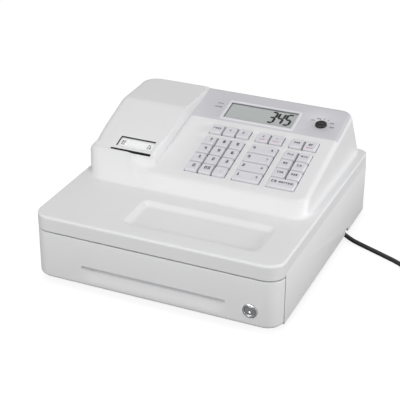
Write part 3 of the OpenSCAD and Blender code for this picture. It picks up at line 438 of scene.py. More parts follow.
def console_shell(mesh, holes):
    """Console from its foot on the lid to its upper surface, with the given holes in that"""
    foot = subdivide(rounded(*FOOT), SIDE_POINTS)
    crown = subdivide(rounded(*CROWN), SIDE_POINTS)
    foot = [Vector((p.x, p.y, LID_TOP)) for p in foot]
    deck_lead = NOSE_Y - DECK_Y
    crown = [Vector((p.x, p.y - deck_lead * (1 - hump_share(p.x, NOSE_Y - deck_lead / 2))
                     * (1 - ease(p.y, -18, 100)), 0)) for p in crown]
    for p in crown:
        p.z = console_height(p.x, p.y)
    columns = []
    upright = Vector((0, 0, 1))
    for k, (low, high) in enumerate(zip(foot, crown)):
        after = (k + 1) % len(foot)
        along_low = foot[after] - foot[k - 1]
        along_high = crown[after] - crown[k - 1]
        wall = high - low
        out_low = along_low.cross(wall).normalized()
        out_high = along_high.cross(wall).normalized()
        top = console_normal(high.x, high.y)
        # Little room is left beside the lid's edge on the left, and hardly any at the rear
        at_left = ease(-low.x, 130, 150)
        at_rear = ease(low.y, 150, 171)
        foot_round = mix(mix(FOOT_ROUND, 2, at_left), 0.4, at_rear)
        flange = mix(mix(1.5, 0.4, at_left), 0.2, at_rear)
        base = fillet(low, upright, out_low, foot_round, 5, hollow=True)
        # The upper edge is fuller at the left, and fullest at the printer's nose
        round_here = CONSOLE_ROUND + 2 * ease(-high.x, 120, 155)
        round_here += 3.5 * ease(-high.x, 62, 95) * (1 - ease(high.y, -28, 20))
        edge = fillet(high, out_high, top, round_here, 8)
        outwards = Vector((out_low.x, out_low.y, 0)).normalized()
        inwards = (top.cross(along_high)).normalized()
        end = edge[-1] + inwards * 1.6
        end.z = console_height(end.x, end.y)
        run = (edge[0] - base[-1]).normalized()
        columns.append([base[0] + outwards * flange] + base + [base[-1] + run * 1.2, edge[0] - run * 1.2]
                       + edge + [end])
    rings = skin_rings(mesh, zip(*columns))
    # Points that shape the surface inside its edge: close together at the nose, bend and shoulder
    rows = [NOSE_Y + 2 * k for k in range(8)] + [-12 + 9 * k for k in range(8)]
    rows += [BEND_Y - 6 + 2 * k for k in range(7)] + [84 + 9 * k for k in range(7)]
    spots = []
    for y in rows:
        edge_x = through(SHOULDER, y)
        across = [-145, -130, -115, -100, edge_x - 12, edge_x - 6, edge_x - 3, edge_x - 1.5]
        across += [edge_x + (VALLEY_X - edge_x) * k / 8 for k in range(-1, 9)]
        spots += [Vector((x, y)) for x in across]
    spots += [Vector((-84 + 3 * i, -42 + 3 * j)) for i in range(12) for j in range(7)]
    fill(mesh, rings[-1], holes, console_height, spots)
    return rings[0]


def leaning(y, z, tilt):
    """Gives the function that places x, the way up a leaning plane from y, z, and the way off it"""
    def place(x, along, up):
        return Vector((x, y + along * math.cos(tilt) - up * math.sin(tilt),
                       z + along * math.sin(tilt) + up * math.cos(tilt)))
    return place


# The keyboard deck, from its front edge, and the printer's slope, from the nose
on_deck = leaning(DECK_Y, DECK_Z, DECK_TILT)
on_slope = leaning(NOSE_Y, NOSE_Z, SLOPE)


def lip(radius, steps=3):
    """Rounded edge of a hole as pairs of inset and depth"""
    angles = [k / steps * math.pi / 2 for k in range(steps + 1)]
    return [(-radius * (1 - math.sin(a)), radius * (1 - math.cos(a))) for a in angles]


SMALLEST_ROUND = 0.3


def sink(mesh, box, radius, levels, place, floor=True):
    """A pocket with rounded corners that goes down through pairs of inset and depth"""
    rings = []
    for inset, depth in levels:
        outline = box_outline(box, max(radius - inset, SMALLEST_ROUND), 4, inset)
        rings.append([place(p.x, p.y, -depth) for p in outline])
    made = skin_rings(mesh, rings)
    if floor:
        mesh.faces.new(made[-1])
    return made[0]


def cut(mesh, place, normal, where=None):
    """Cuts faces along a plane and keeps both sides"""
    faces = [f for f in mesh.faces if where is None or where(f.calc_center_median())]
    parts = {e for f in faces for e in f.edges} | {v for f in faces for v in f.verts} | set(faces)
    bmesh.ops.bisect_plane(mesh, geom=list(parts), dist=1e-5, plane_co=place, plane_no=normal)


CREASE = math.radians(32)


def piece(mesh, name, material, thickness=0):
    """Turns millimetres into metres, gives the wall its thickness and marks the sharp edges"""
    bmesh.ops.remove_doubles(mesh, verts=mesh.verts[:], dist=1e-4)
    bmesh.ops.recalc_face_normals(mesh, faces=mesh.faces[:])
    bmesh.ops.scale(mesh, vec=(MM, MM, MM), verts=mesh.verts[:])
    data = bpy.data.meshes.new(name)
    mesh.to_mesh(data)
    mesh.free()
    made = bpy.data.objects.new(name, data)
    bpy.context.scene.collection.objects.link(made)
    if thickness:
        solid = made.modifiers.new("wall", "SOLIDIFY")
        solid.thickness = thickness * MM
        solid.offset = -1
        solid.use_even_offset = True
        settle(made)
    data = made.data
    data.shade_smooth()
    data.set_sharp_from_angle(angle=CREASE)
    if material:
        data.materials.append(material)
    return made


def settle(made):
    """Applies the modifiers of a piece to its mesh"""
    bpy.context.view_layer.update()
    result = made.evaluated_get(bpy.context.evaluated_depsgraph_get())
    made.data = bpy.data.meshes.new_from_object(result)
    made.modifiers.clear()


FLOW_SIZE = 60


def moulded(name, dark, light, gloss, grain=0.4, relief=0.22):
    """Injection-moulded plastic: two close tones where the melt ran and the tool's eroded grain"""
    material, tree = blank_material(name)
    flow = grained(tree, FLOW_SIZE, 3.0, 0.5)
    eroded = grained(tree, grain, 2.0, 0.6)
    surface(tree, {"Base Color": blend(tree, flow, dark, light), "IOR": 1.54,
                   "Roughness": spread(tree, flow, *gloss),
                   "Normal": bumps(tree, eroded, relief, 0.04)})
    return material


# ABS from a spark-eroded tool: off-white, a fine matt grain of 0.4 mm, a faint unevenness of gloss
abs_white = moulded("moulded_abs_off_white", "#DCDCDD", "#E0E0E1", (0.42, 0.52))

KEY_PITCH = 19
PAD_X = 4.5
DEPT_X = 61
TOTAL_X = 108
ROW_START = 26
FUNCTION_ROW = 109
WELL_DEPTH = 4.5
SLOT_LIP = 0.3
SLOT_ROUND = 0.8
SLOT_DEPTH = 1.2
SEAM = 0.03
OPEN_FRONT = COVER_FRONT - 0.15
OPEN_LOW = COVER_LOW - 0.3
PANEL_X = -62.4
PANEL_S = 131
PANEL_EDGE = 1.9
PAPER_X = -101
OUTLET = (-131.5, -72.5, 3.6, 8.4)
WINDOW = (-126.5, -75.5, 13, 32)


def deck_place(point):
    """How far up the keyboard deck a point lies, and how high off it"""
    dy = point.y - DECK_Y
    dz = point.z - DECK_Z
    return (dy * math.cos(DECK_TILT) + dz * math.sin(DECK_TILT),
            dz * math.cos(DECK_TILT) - dy * math.sin(DECK_TILT))


def over_panel(point):
    """Whether a point lies in the display panel's skin"""
    along, up = deck_place(point)
    return point.x > PANEL_X and along > PANEL_S and up > -PANEL_EDGE


case = bmesh.new()
pockets = [sink(case, OUTLET, SLOT_ROUND, lip(SLOT_LIP) + [(0, SLOT_DEPTH)], on_slope, floor=False)]
for x, width in ((PAD_X, 3), (DEPT_X, 2), (TOTAL_X, 2)):
    for low, rows in ((ROW_START - KEY_PITCH / 2, 4), (FUNCTION_ROW - KEY_PITCH / 2, 1)):
        half = width * KEY_PITCH / 2
        well = (x - half, x + half, low, low + rows * KEY_PITCH)
        levels = lip(0.5) + [(0, WELL_DEPTH - 0.6), (0.2, WELL_DEPTH - 0.15), (0.7, WELL_DEPTH)]
        pockets.append(sink(case, well, 1.6, levels, on_deck))
console_foot = console_shell(case, pockets)

DECK_ACROSS, DECK_UP, DECK_OFF = (
    on_deck(*step) - on_deck(0, 0, 0) for step in ((1, 0, 0), (0, 1, 0), (0, 0, 1)))

# The display panel fills an opening that runs out over the right side and the ridge
on_right = lambda p: p.x > VALLEY_X
cut(case, (PANEL_X, 0, 0), (1, 0, 0), on_right)
cut(case, on_deck(0, PANEL_S, 0), DECK_UP, on_right)
cut(case, on_deck(0, 0, -PANEL_EDGE), DECK_OFF, on_right)
bmesh.ops.delete(case, geom=[f for f in case.faces if over_panel(f.calc_center_median())],
                 context="FACES")

# The compartment under the printer cover is open, and a rib parts it from the keyboard
left = lambda p: p.x < VALLEY_X + 4
cut(case, (VALLEY_X + SEAM, 0, 0), (1, 0, 0))
cut(case, (0, OPEN_FRONT, 0), (0, 1, 0), left)
cut(case, (0, 0, OPEN_LOW), (0, 0, 1), left)
gone = []
for face in case.faces:
    middle = face.calc_center_median()
    if middle.x < VALLEY_X + SEAM and middle.y > OPEN_FRONT and middle.z > OPEN_LOW:
        gone.append(face)
bmesh.ops.delete(case, geom=gone, context="FACES")
# The wells' floors and lower walls are faced with the contact mat
for face in case.faces:
    along, depth = deck_place(face.calc_center_median())
    across = face.calc_center_median().x
    if -WELL_DEPTH - 0.1 < depth < -1.2 and 10 < along < 122 and -48 < across < 140:
        face.material_index = 1

# Lid: the dish, the flat, the rounded rim and the skirt, which hangs lower over the drawer
DISH = (-54, 127, -149, -82)
DISH_ROUND = 10
LID_CORNERS = (22, 22, 14, 10)
dish_levels = [(inset * 2.5, depth * 2.5) for inset, depth in ((-0.6, 0), (-0.2, 0.03), (0.2, 0.12))]
dish_levels += [(1.6, 0.75), (5.4, 3.4), (6.8, 4.15), (8.6, 4.8), (11, 5), (14, 5)]
hollow = sink(case, DISH, DISH_ROUND, dish_levels, lambda x, y, up: Vector((x, y, LID_TOP + up)))
plan = subdivide(rounded(-SIDE_X, SIDE_X, FACE_Y, REAR_Y, LID_CORNERS, 12), (20, 2, 20, 2), 12)
columns = []
for k, p in enumerate(plan):
    before = plan[k - 1]
    after = plan[(k + 1) % len(plan)]
    out = Vector((after.y - before.y, before.x - after.x, 0)).normalized()
    low = LIP_LOW if p.y <= SHOULDER_Y else SKIRT_LOW
    corner = Vector((p.x, p.y, LID_TOP))
    at_rear = ease(p.y, 152, 174)
    edge = fillet(corner, out, Vector((0, 0, 1)), mix(LID_ROUND, 0.7, at_rear), 6)
    columns.append([Vector((p.x, p.y, low)), Vector((p.x, p.y, LID_TOP - LID_ROUND - 1.5))] + edge
                   + [edge[-1] - out * mix(1.5, 0.3, at_rear)])
rim = skin_rings(case, zip(*columns))
fill(case, rim[-1], [console_foot, hollow], lambda x, y: LID_TOP)
top_case = piece(case, "top_case_moulding", abs_white, WALL)
# The contact mat under the keys: carbon-filled rubber, dark and matt
mat_black = moulded("moulded_rubber_contact_mat", "#1B1B1D", "#262629", (0.6, 0.75), 0.6, 0.3)
top_case.data.materials.append(mat_black)

REAR_LEAN = math.radians(71.87)
REAR_WINDOW = (23, 97, -45, -23)
SCREW_X = (-140, -50, 50, 140)
SCREW_Z = 85.2
LCD_WINDOW = (-19.5, 78.5, 139.5, 175.5)
KNOB = (114.5, 159)
KNOB_HOLE = 7.9
SCREW_HOLE = 3.4


# The console's leaning rear, down from the lid
on_rear = leaning(REAR_Y - 1, LID_TOP, -REAR_LEAN)


def prism(mesh, outline, low, high, place):
    """A closed block between two heights above an outline"""
    close_rings(mesh, [[place(p[0], p[1], up) for p in outline] for up in (low, high)])


def carve(made, cutter):
    """Takes a cutter, a mesh in millimetres, out of a piece"""
    tool = piece(cutter, "cutter", None)
    hole = made.modifiers.new("carve", "BOOLEAN")
    hole.operation = "DIFFERENCE"
    hole.solver = "EXACT"
    hole.object = tool
    settle(made)
    made.data.set_sharp_from_angle(angle=CREASE)
    bpy.data.objects.remove(tool)


holes = bmesh.new()
prism(holes, box_outline(REAR_WINDOW, 1.5), -8, 8, on_rear)
prism(holes, box_outline(LCD_WINDOW, 0.5), -12, 1, on_deck)
prism(holes, circle(*KNOB, KNOB_HOLE), -12, 1, on_deck)
for x in SCREW_X:
    prism(holes, circle(x, SCREW_Z, SCREW_HOLE), -6, 1.3, lambda x, y, up: Vector((x, REAR_Y - up, y)))
carve(top_case, holes)
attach(top_case, "cabinet")
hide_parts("top_case")

# ---- Printer cover -----------------------------------------------------------------------------
# An ABS shell that closes the printer and swings up on two hinges in the rear. The paper comes out
# of its slot, and a small window above that shows the paper's edge.


def trim(mesh, planes):
    """Keeps what lies behind every plane of pairs of a point and a normal"""
    for place, normal in planes:
        bmesh.ops.bisect_plane(mesh, geom=mesh.verts[:] + mesh.edges[:] + mesh.faces[:], dist=1e-5,
                               plane_co=place, plane_no=normal, clear_outer=True)


WINDOW_LIP = 0.25

cover = bmesh.new()
console_shell(cover, [
    sink(cover, OUTLET, SLOT_ROUND, lip(SLOT_LIP) + [(0, SLOT_DEPTH)], on_slope, floor=False),
    sink(cover, WINDOW, SLOT_ROUND, lip(WINDOW_LIP) + [(0, SLOT_DEPTH)], on_slope, floor=False)])
trim(cover, (((VALLEY_X - SEAM, 0, 0), (1, 0, 0)), ((0, COVER_FRONT, 0), (0, -1, 0)),
             ((0, 0, COVER_LOW), (0, 0, -1))))
printer_cover = piece(cover, "printer_cover_shell", abs_white, WALL)
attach(printer_cover, "cover")
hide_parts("printer_cover")

HINGE_X = (-140, -86)
HINGE = Vector((0, 171.641, 118.85))
HINGE_R = 3


def round_bar(mesh, start, along, radius, length, ease_by=0.4, steps=40):
    """A round bar from start along a direction, its ends broken by a small radius"""
    along = Vector(along).normalized()
    side = along.orthogonal().normalized()
    up = along.cross(side)
    profile = [(0, radius - ease_by), (ease_by * 0.3, radius - ease_by * 0.3), (ease_by, radius)]
    profile += [(length - d, r) for d, r in reversed(profile)]
    rings = []
    for depth, r in profile:
        turns = [k * math.tau / steps for k in range(steps)]
        rings.append([Vector(start) + along * depth + (side * math.cos(a) + up * math.sin(a)) * r
                      for a in turns])
    close_rings(mesh, rings)


def joined(name, material, body, build):
    """Runs build on an empty mesh and lets the piece ride its body"""
    mesh = bmesh.new()
    build(mesh)
    made = piece(mesh, name, material)
    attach(made, body)
    return made


def knuckle(mesh, start, length, reach, low, high):
    """A round bar on the hinge's axis and the tongue that carries it"""
    round_bar(mesh, (start, HINGE.y, HINGE.z), (1, 0, 0), HINGE_R, length)
    front_y = HINGE.y - reach
    prism(mesh, [(start, front_y), (start + length, front_y), (start + length, HINGE.y),
                 (start, HINGE.y)], HINGE.z + low, HINGE.z + high, lambda x, y, up: Vector((x, y, up)))


def case_knuckles(mesh):
    """Two outer knuckles at each hinge"""
    for x in HINGE_X:
        for side in (-1, 1):
            knuckle(mesh, x + side * 10.3 - 5, 10, 5, -6, -1.5)


def cover_knuckles(mesh):
    """The knuckle between them, on the cover"""
    for x in HINGE_X:
        knuckle(mesh, x - 4.7, 9.4, 8, 0.4, 5.8)


joined("case_hinge_knuckles", abs_white, "cabinet", case_knuckles)
joined("cover_hinge_knuckles", abs_white, "cover", cover_knuckles)

# Acetal and ABS filled with carbon black: near black, a low satin gloss
black_moulding = moulded("moulded_abs_black", "#151516", "#1E1E20", (0.4, 0.55), relief=0.3)


def window_shade_liners(mesh):
    """Black walls that line the paper window and the slot; the window's liner is painted shade, set off so
    that only its top and left edges show, where the recess throws its shadow
    """
    slot = (OUTLET[0] + 0.3, OUTLET[1] - 0.3, 6.2, OUTLET[3] - 0.3)
    # Painted shade: the window's liner reaches under the cover at its right and bottom, so only its top
    # and left edges show
    light = (WINDOW[0], WINDOW[1] + 1, WINDOW[2] - 1, WINDOW[3])
    for box, depth in ((light, 2.4), (slot, 6)):
        levels = ((0.05, 0.3), (0.35, 0.3), (0.5, 0.6), (0.5, depth), (0.05, depth), (0.05, 0.3))
        skin_rings(mesh, [[on_slope(p.x, p.y, -down) for p in box_outline(box, 0.7, 4, inset)]
                          for inset, down in levels])


joined("window_shade_liners", black_moulding, "cover", window_shade_liners)

# ---- Receipt paper and the clear windows -------------------------------------------------------
# Thermal paper of 57.5 mm runs off its roll, over the platen and out under the slot. Clear
# polycarbonate lenses close the paper window and both displays.

# Thermal paper: matt, faint fibres of 1.5 mm; a faint blue-white emission is painted light that lifts the
# paper seen in the shaded window
paper, tree = blank_material("coated_thermal_paper")
fibre = grained(tree, 1.5, 4.0, 0.65)
surface(tree, {"Base Color": blend(tree, fibre, "#F6F6F5", "#FBFBFA"), "Roughness": 0.62,
               "IOR": 1.45, "Normal": bumps(tree, fibre, 0.12, 0.03),
               "Emission Color": linear("#F4F8FF"), "Emission Strength": 0.14})

ROLL = Vector((0, 96, 115.2))
ROLL_R = 32
ROLL_SLACK = 0.15
PLATEN = Vector((0, 7, 115))
PAPER_W = 57.5
PAPER_T = 0.1


def paper_web(mesh):
    """The web from the roll, over the platen and under the slope to the slot"""
    line = [ROLL + Vector((0, math.cos(a), math.sin(a))) * (ROLL_R + ROLL_SLACK)
            for a in (math.radians(d) for d in range(60, 97, 4))]
    line += [Vector((0, PLATEN.y + 30, 143)), Vector((0, 14, 136.6)), on_slope(0, 34, -2.75),
             on_slope(0, 22, -2.75), on_slope(0, 12, -2.7), on_slope(0, 8, -2.2), on_slope(0, 6.9, -1.5)]
    half = PAPER_W / 2
    rows = []
    for up in (0, -PAPER_T):
        rows.append([[mesh.verts.new((PAPER_X + side * half, p.y, p.z + up)) for p in line]
                     for side in (-1, 1)])
    (a, b), (c, d) = rows
    for k in range(len(line) - 1):
        mesh.faces.new((a[k], a[k + 1], b[k + 1], b[k]))
        mesh.faces.new((c[k], d[k], d[k + 1], c[k + 1]))
        mesh.faces.new((a[k], c[k], c[k + 1], a[k + 1]))
        mesh.faces.new((b[k], b[k + 1], d[k + 1], d[k]))
    mesh.faces.new((a[0], b[0], d[0], c[0]))
    mesh.faces.new((a[-1], c[-1], d[-1], b[-1]))


joined("receipt_paper", paper, "cabinet", paper_web)

# Clear polycarbonate: seen only by its gloss and a faint grey tint
clear, tree = blank_material("clear_polycarbonate")
haze = grained(tree, 12, 2.0, 0.5)
surface(tree, {"Base Color": linear("#2A2E2E"), "IOR": 1.58, "Alpha": 0.05,
               "Roughness": spread(tree, haze, 0.06, 0.12)})
clear.surface_render_method = "BLENDED"


def repaint(node, material):
    """Gives a piece of the frame its real material"""
    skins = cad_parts[node].data.materials
    skins.clear()
    skins.append(material)


repaint("receipt_window", clear)
repaint("display_lenses", clear)

# ---- Drawer front ------------------------------------------------------------------------------
# An ABS moulding that closes the drawer and turns both front corners of the cabinet. A shallow
# pull is sunk into its lower half, and the lock sits at its right.

FRONT_LOW = 7.8
FRONT_TOP = 73.2
FRONT_BACK = -155.7
FRONT_ROUND = 22
PULL = (-97, 97, 31.4, 36.4)
LOCK = Vector((129, -175, 30))


def facing(x, up, out):
    """Point of the drawer's face, kept lying down while it is made: x, height and off the face"""
    return Vector((x, up, -FACE_Y + out))


CORNER_STEPS = 12
path = []
for side in (-1, 1):
    arc = []
    for k in range(CORNER_STEPS + 1):
        angle = math.pi / 2 * k / CORNER_STEPS
        x = SIDE_X - FRONT_ROUND + FRONT_ROUND * math.cos(angle)
        y = FACE_Y + FRONT_ROUND - FRONT_ROUND * math.sin(angle)
        if y < FRONT_BACK - 0.5:
            arc.append((Vector((side * x, y)), Vector((side * math.cos(angle), -math.sin(angle)))))
    arc = [(Vector((side * (SIDE_X - 0.15), FRONT_BACK)), Vector((side, 0)))] + arc
    path += arc if side < 0 else arc[::-1]
profile = [(FRONT_LOW, 9), (FRONT_LOW, 6.5)]
profile += [(FRONT_LOW + 5.4 * (1 - math.cos(a)), 5.6 * (1 - math.sin(a)))
            for a in (math.pi / 2 * k / 7 for k in range(8))]
profile += [(FRONT_TOP - 1.2 * (1 - math.cos(a)), 1.2 * (1 - math.sin(a)))
            for a in (math.pi / 2 * k / 4 for k in range(4, -1, -1))]
profile += [(FRONT_TOP, 2), (FRONT_TOP, 2.6), (FRONT_TOP - 6, 2.7)]
front = bmesh.new()
grid = []
for up, inset in profile:
    row = []
    for p, out in path:
        q = p - out * inset
        q.y = min(q.y, FRONT_BACK)
        row.append(front.verts.new((q.x, up, -q.y)))
    grid.append(row)
middle = len(path) // 2
rows_flat = [k for k, row in enumerate(profile) if row[1] < 1e-6]
low_flat, high_flat = rows_flat[0], rows_flat[-1]
for i in range(len(profile) - 1):
    for k in range(len(path) - 1):
        if k == middle - 1 and i == low_flat:
            continue
        front.faces.new((grid[i][k], grid[i][k + 1], grid[i + 1][k + 1], grid[i + 1][k]))
for row in (grid[0], grid[-1]):
    front.faces.new(row)
a, b = grid[low_flat][middle - 1], grid[low_flat][middle]
c, d = grid[high_flat][middle], grid[high_flat][middle - 1]


def dent(x, up):
    """Depth of the face: a shallow slope leans in under the groove and fades at its ends"""
    return 2.6 * ease(up, 14.6, 31) * ease(35.4 - up, 0, 2) * ease(100 - abs(x), 0, 18)


PULL_ROUND = 2.4
PULL_DEPTH = 6.2
pull_walls = []
for inset, deep in ((0, 0), (0.12, 0.3), (0.45, 0.75), (0.75, 1.6), (0.75, PULL_DEPTH), (1.2, 6.8)):
    groove = box_outline(PULL, PULL_ROUND - inset, 6, inset)
    left_over = 1 - min(deep / PULL_DEPTH, 1)
    pull_walls.append([facing(p.x, p.y, -dent(p.x, p.y) * left_over - deep) for p in groove])
pull_rings = skin_rings(front, pull_walls)
front.faces.new(pull_rings[-1])
lock_hole = skin_rings(front, [[facing(p.x, p.y, -d) for p in circle(LOCK.x, LOCK.z, r)]
                               for r, d in ((9.8, 0), (9.55, 0.3), (9.55, 1.5))])
fill(front, [a, b, c, d], [pull_rings[0], lock_hole[0]], lambda x, y: -FACE_Y - dent(x, y),
     [Vector((x, y)) for x in range(-102, 103, 4) for y in (15.5, 18, 20.5, 23, 25.5, 28, 30)]
     + [Vector((side * (98.6 + k), y)) for side in (-1, 1) for k in (0, 2, 4)
        for y in (32, 33.2, 34.4, 35.6, 37)])
bmesh.ops.transform(front, matrix=Matrix.Rotation(math.pi / 2, 4, "X"), verts=front.verts[:])
drawer_front = piece(front, "drawer_front_moulding", abs_white, WALL)
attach(drawer_front, "drawer")
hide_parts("drawer_front")


def eased(node, name, radius, material, body, slot, steps=2, angle=35):
    """A copy of a CAD solid with its edges broken by a small radius, as on the real piece"""
    mesh = bmesh.new()
    mesh.from_mesh(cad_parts[node].data)
    bmesh.ops.scale(mesh, vec=(1 / MM, 1 / MM, 1 / MM), verts=mesh.verts[:])
    bmesh.ops.remove_doubles(mesh, verts=mesh.verts[:], dist=1e-3)
    bmesh.ops.dissolve_limit(mesh, angle_limit=math.radians(0.5), verts=mesh.verts[:],
                             edges=mesh.edges[:])
    sharp = [e for e in mesh.edges if e.is_manifold and e.calc_face_angle(0) > math.radians(angle)]
    bmesh.ops.bevel(mesh, geom=sharp, offset=radius, offset_type="OFFSET", segments=steps,
                    profile=0.5, affect="EDGES", clamp_overlap=True)
    made = piece(mesh, name, material)
    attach(made, body)
    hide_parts(node)
    return made


# Nickel-chrome on a zinc casting: bright, with fine turned rings of 0.3 mm about the keyhole
chrome, tree = blank_material("turned_nickel_chrome")
where = add(tree, "ShaderNodeTexCoord")
centred = add(tree, "ShaderNodeVectorMath", {0: where.outputs["Object"], 1: tuple(-LOCK * MM)})
centred.operation = "ADD"
flat = add(tree, "ShaderNodeVectorMath", {0: centred.outputs[0], 1: (1, 0, 1)}, operation="MULTIPLY")
out = add(tree, "ShaderNodeVectorMath", {0: flat.outputs[0]}, operation="LENGTH")
rings = add(tree, "ShaderNodeMath", {0: out.outputs["Value"], 1: math.tau / (0.3 * MM)},
            operation="MULTIPLY")
turned = add(tree, "ShaderNodeMath", {0: rings.outputs[0]}, operation="SINE")
groove = bumps(tree, turned.outputs[0], 0.15, 0.02)
cloud = add(tree, "ShaderNodeTexNoise", {"Vector": where.outputs["Object"], "Scale": 1 / (5 * MM)})
surface(tree, {"Base Color": linear("#ECEDEF"), "Metallic": 1.0, "Normal": groove,
               "Roughness": spread(tree, cloud.outputs["Fac"], 0.14, 0.26)})
LOCK_BARREL = 18
LOCK_TAIL = 15.7
LOCK_CAM = 1.5


def lock_cylinder(mesh):
    """A turned rim round a sunk plug with its keyway, on a barrel that carries the cam"""
    turned = [(9.3, -1.4), (9.3, 1.1), (9.15, 1.55), (8.7, 1.9), (8.1, 2), (7.4, 1.85), (7, 1.4),
              (6.7, 0.2), (6.6, -0.4), (6.1, -0.4), (6, 0.6), (5.7, 0.85), (3.4, 0.9)]
    rings = [[Vector((p.x, FACE_Y - up, p.y)) for p in circle(LOCK.x, LOCK.z, r, 64)]
             for r, up in turned]
    keyway = [(LOCK.x + w * 1.15, LOCK.z + h * 3.1) for w, h in (
        [(math.cos(k * math.tau / 64), math.sin(k * math.tau / 64)) for k in range(64)])]
    rings += [[Vector((x, FACE_Y - up, z)) for x, z in keyway] for up in (0.9, 0.6, -4)]
    close_rings(mesh, rings)
    round_bar(mesh, (LOCK.x, FACE_Y + 1.3, LOCK.z), (0, 1, 0), LOCK_BARREL / 2, LOCK_TAIL, 0.4, 48)
    cam = [(LOCK.x - 4, LOCK.z - 4), (LOCK.x + 4, LOCK.z - 4), (LOCK.x + 4, LOCK.z + LOCK_BARREL - 1),
           (LOCK.x + 3, LOCK.z + LOCK_BARREL), (LOCK.x - 3, LOCK.z + LOCK_BARREL),
           (LOCK.x - 4, LOCK.z + LOCK_BARREL - 1)]
    prism(mesh, cam, LOCK_TAIL + 1.3, LOCK_TAIL + 1.3 + LOCK_CAM,
          lambda x, z, up: Vector((x, FACE_Y + up, z)))


lock_barrel = joined("lock_barrel_turned", chrome, "lock", lock_cylinder)
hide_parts("lock_barrel")

# ---- Lower case --------------------------------------------------------------------------------
# The ABS tray that the cabinet stands on: sides, rear and floor in one moulding, open in front for
# the drawer. Bosses under it take the pegs of four rubber feet.

eased("lower_case", "lower_case_moulding", 0.6, abs_white, "cabinet", "case")

# Moulded rubber: charcoal, matt, a coarse 0.8 mm grain
rubber = moulded("moulded_rubber_charcoal", "#232324", "#2E2E30", (0.7, 0.85), 0.8, 0.5)
eased("feet", "rubber_feet", 0.8, rubber, "cabinet", "rubber", 3)

# ---- Display panel -----------------------------------------------------------------------------
# A thin ABS bezel under a silver film fills the top of the deck. A soft raised rim frames the
# liquid-crystal display, and the mode switch comes through a hole at its right.

INK_UP = 0.04
GRID = {c: (k % 3, k // 3) for k, c in enumerate("abcdefghijklmno")}
STROKES = {
    "0": ["acoma"], "1": ["jnb", "ac"], "2": ["moigac"], "3": ["moca", "gi"], "4": ["mgi", "oc"],
    "5": ["omgica"], "6": ["omacig"], "7": ["mob"], "8": ["acoma", "gi"], "9": ["igmoca"],
    ".": ["bb"], "-": ["gi"], "*": ["dl", "jf"], "%": ["oa", "mm", "cc"],
    "A": ["amoc", "gi"], "B": ["acoma", "gi"], "C": ["omac"], "D": ["amlfa"], "E": ["omac", "gh"],
    "F": ["oma", "gh"], "G": ["omacih"], "H": ["ma", "gi", "oc"], "I": ["nb"], "L": ["mac"],
    "M": ["amhoc"], "N": ["amco"], "O": ["acoma"], "P": ["amoig"], "R": ["amoig", "hc"],
    "S": ["omgica"], "T": ["mo", "nb"], "U": ["maco"], "X": ["mc", "ao"],
    "Z": ["moac"]}


def letter(mesh, text, place, x, y, height, weight, ink, slant=0.0):
    """Prints text centred on x, y as flat strokes of ink on the surface that place gives"""
    width = height * 0.5
    pitch = width + weight * 2.2
    start = x - (len(text) - 1) * pitch / 2
    for n, sign in enumerate(text):
        for stroke in STROKES.get(sign, []):
            spots = [Vector(((GRID[c][0] - 1) / 2 * width, (GRID[c][1] - 2) / 4 * height))
                     for c in stroke]
            for a, b in zip(spots, spots[1:]):
                along = (b - a).normalized() if (b - a).length > 0 else Vector((1, 0))
                side = Vector((-along.y, along.x)) * weight / 2
                a, b = a - along * weight / 2, b + along * weight / 2
                corners = []
                for q in (a + side, a - side, b - side, b + side):
                    corners.append(mesh.verts.new(place(start + n * pitch + q.x + q.y * slant,
                                                        y + q.y, INK_UP)))
                face = mesh.faces.new(corners)
                face.material_index = ink


def toned(name, dark, light, size, gloss, coat=0.0, metallic=0.0):
    """A skin of two close tones in soft patches of a given size in millimetres"""
    material, tree = blank_material(name)
    patch = grained(tree, size, 4.0, 0.6)
    surface(tree, {"Base Color": blend(tree, patch, dark, light), "IOR": 1.5, "Coat Weight": coat,
                   "Roughness": spread(tree, patch, *gloss), "Coat Roughness": 0.2,
                   "Metallic": metallic, "Normal": bumps(tree, patch, 0.15, 0.03)})
    return material


# Silver-lavender film: satin, fine metallic flakes of 0.6 mm under a clear coat
film = toned("printed_silver_film", "#C8C7CC", "#D1D0D5", 0.6, (0.34, 0.46), 0.25, 0.15)
# The rim is bare ABS, a touch lighter and cooler than the film
rim_white = moulded("moulded_abs_pale_lavender", "#D3D3D7", "#D8D8DC", (0.3, 0.4))
# Screen ink: dark grey or red, matt, with a faint mottle
grey_ink = toned("screen_ink_grey", "#29292B", "#353538", 0.5, (0.5, 0.6))
red_ink = toned("screen_ink_red", "#B4535C", "#C06068", 0.5, (0.5, 0.6))

PANEL_FIT = 0.1
PANEL_WALL = 1.3
panel = bmesh.new()
rim_rings = []
for out, up in ((4.4, 0), (4, 0.08), (3.5, 0.4), (2.9, 0.8), (2.3, 0.97), (1.8, 1), (1, 0.95),
                (0.45, 0.7), (0.12, 0.3), (0, -0.1), (0, -1.5)):
    outline = box_outline(LCD_WINDOW, 0.6 + out * 0.75, 5, -out)
    rim_rings.append([on_deck(p.x, p.y, up) for p in outline])
rim_made = skin_rings(panel, rim_rings)
for face in panel.faces:
    face.material_index = 1
knob_hole = skin_rings(panel, [[on_deck(p.x, p.y, up) for p in circle(*KNOB, r)]
                               for r, up in ((8.2, 0), (8.0, -0.08), (7.8, -0.3), (7.8, -1.5))])
console_shell(panel, [rim_made[0], knob_hole[0]])
trim(panel, ((on_deck(PANEL_X + PANEL_FIT, 0, 0), -DECK_ACROSS),
             (on_deck(0, PANEL_S + PANEL_FIT, 0), -DECK_UP),
             (on_deck(0, 0, PANEL_FIT - PANEL_EDGE), -DECK_OFF)))
display_panel = piece(panel, "display_panel_film", film, PANEL_WALL)
display_panel.data.materials.append(rim_white)
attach(display_panel, "cabinet")
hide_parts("display_panel")

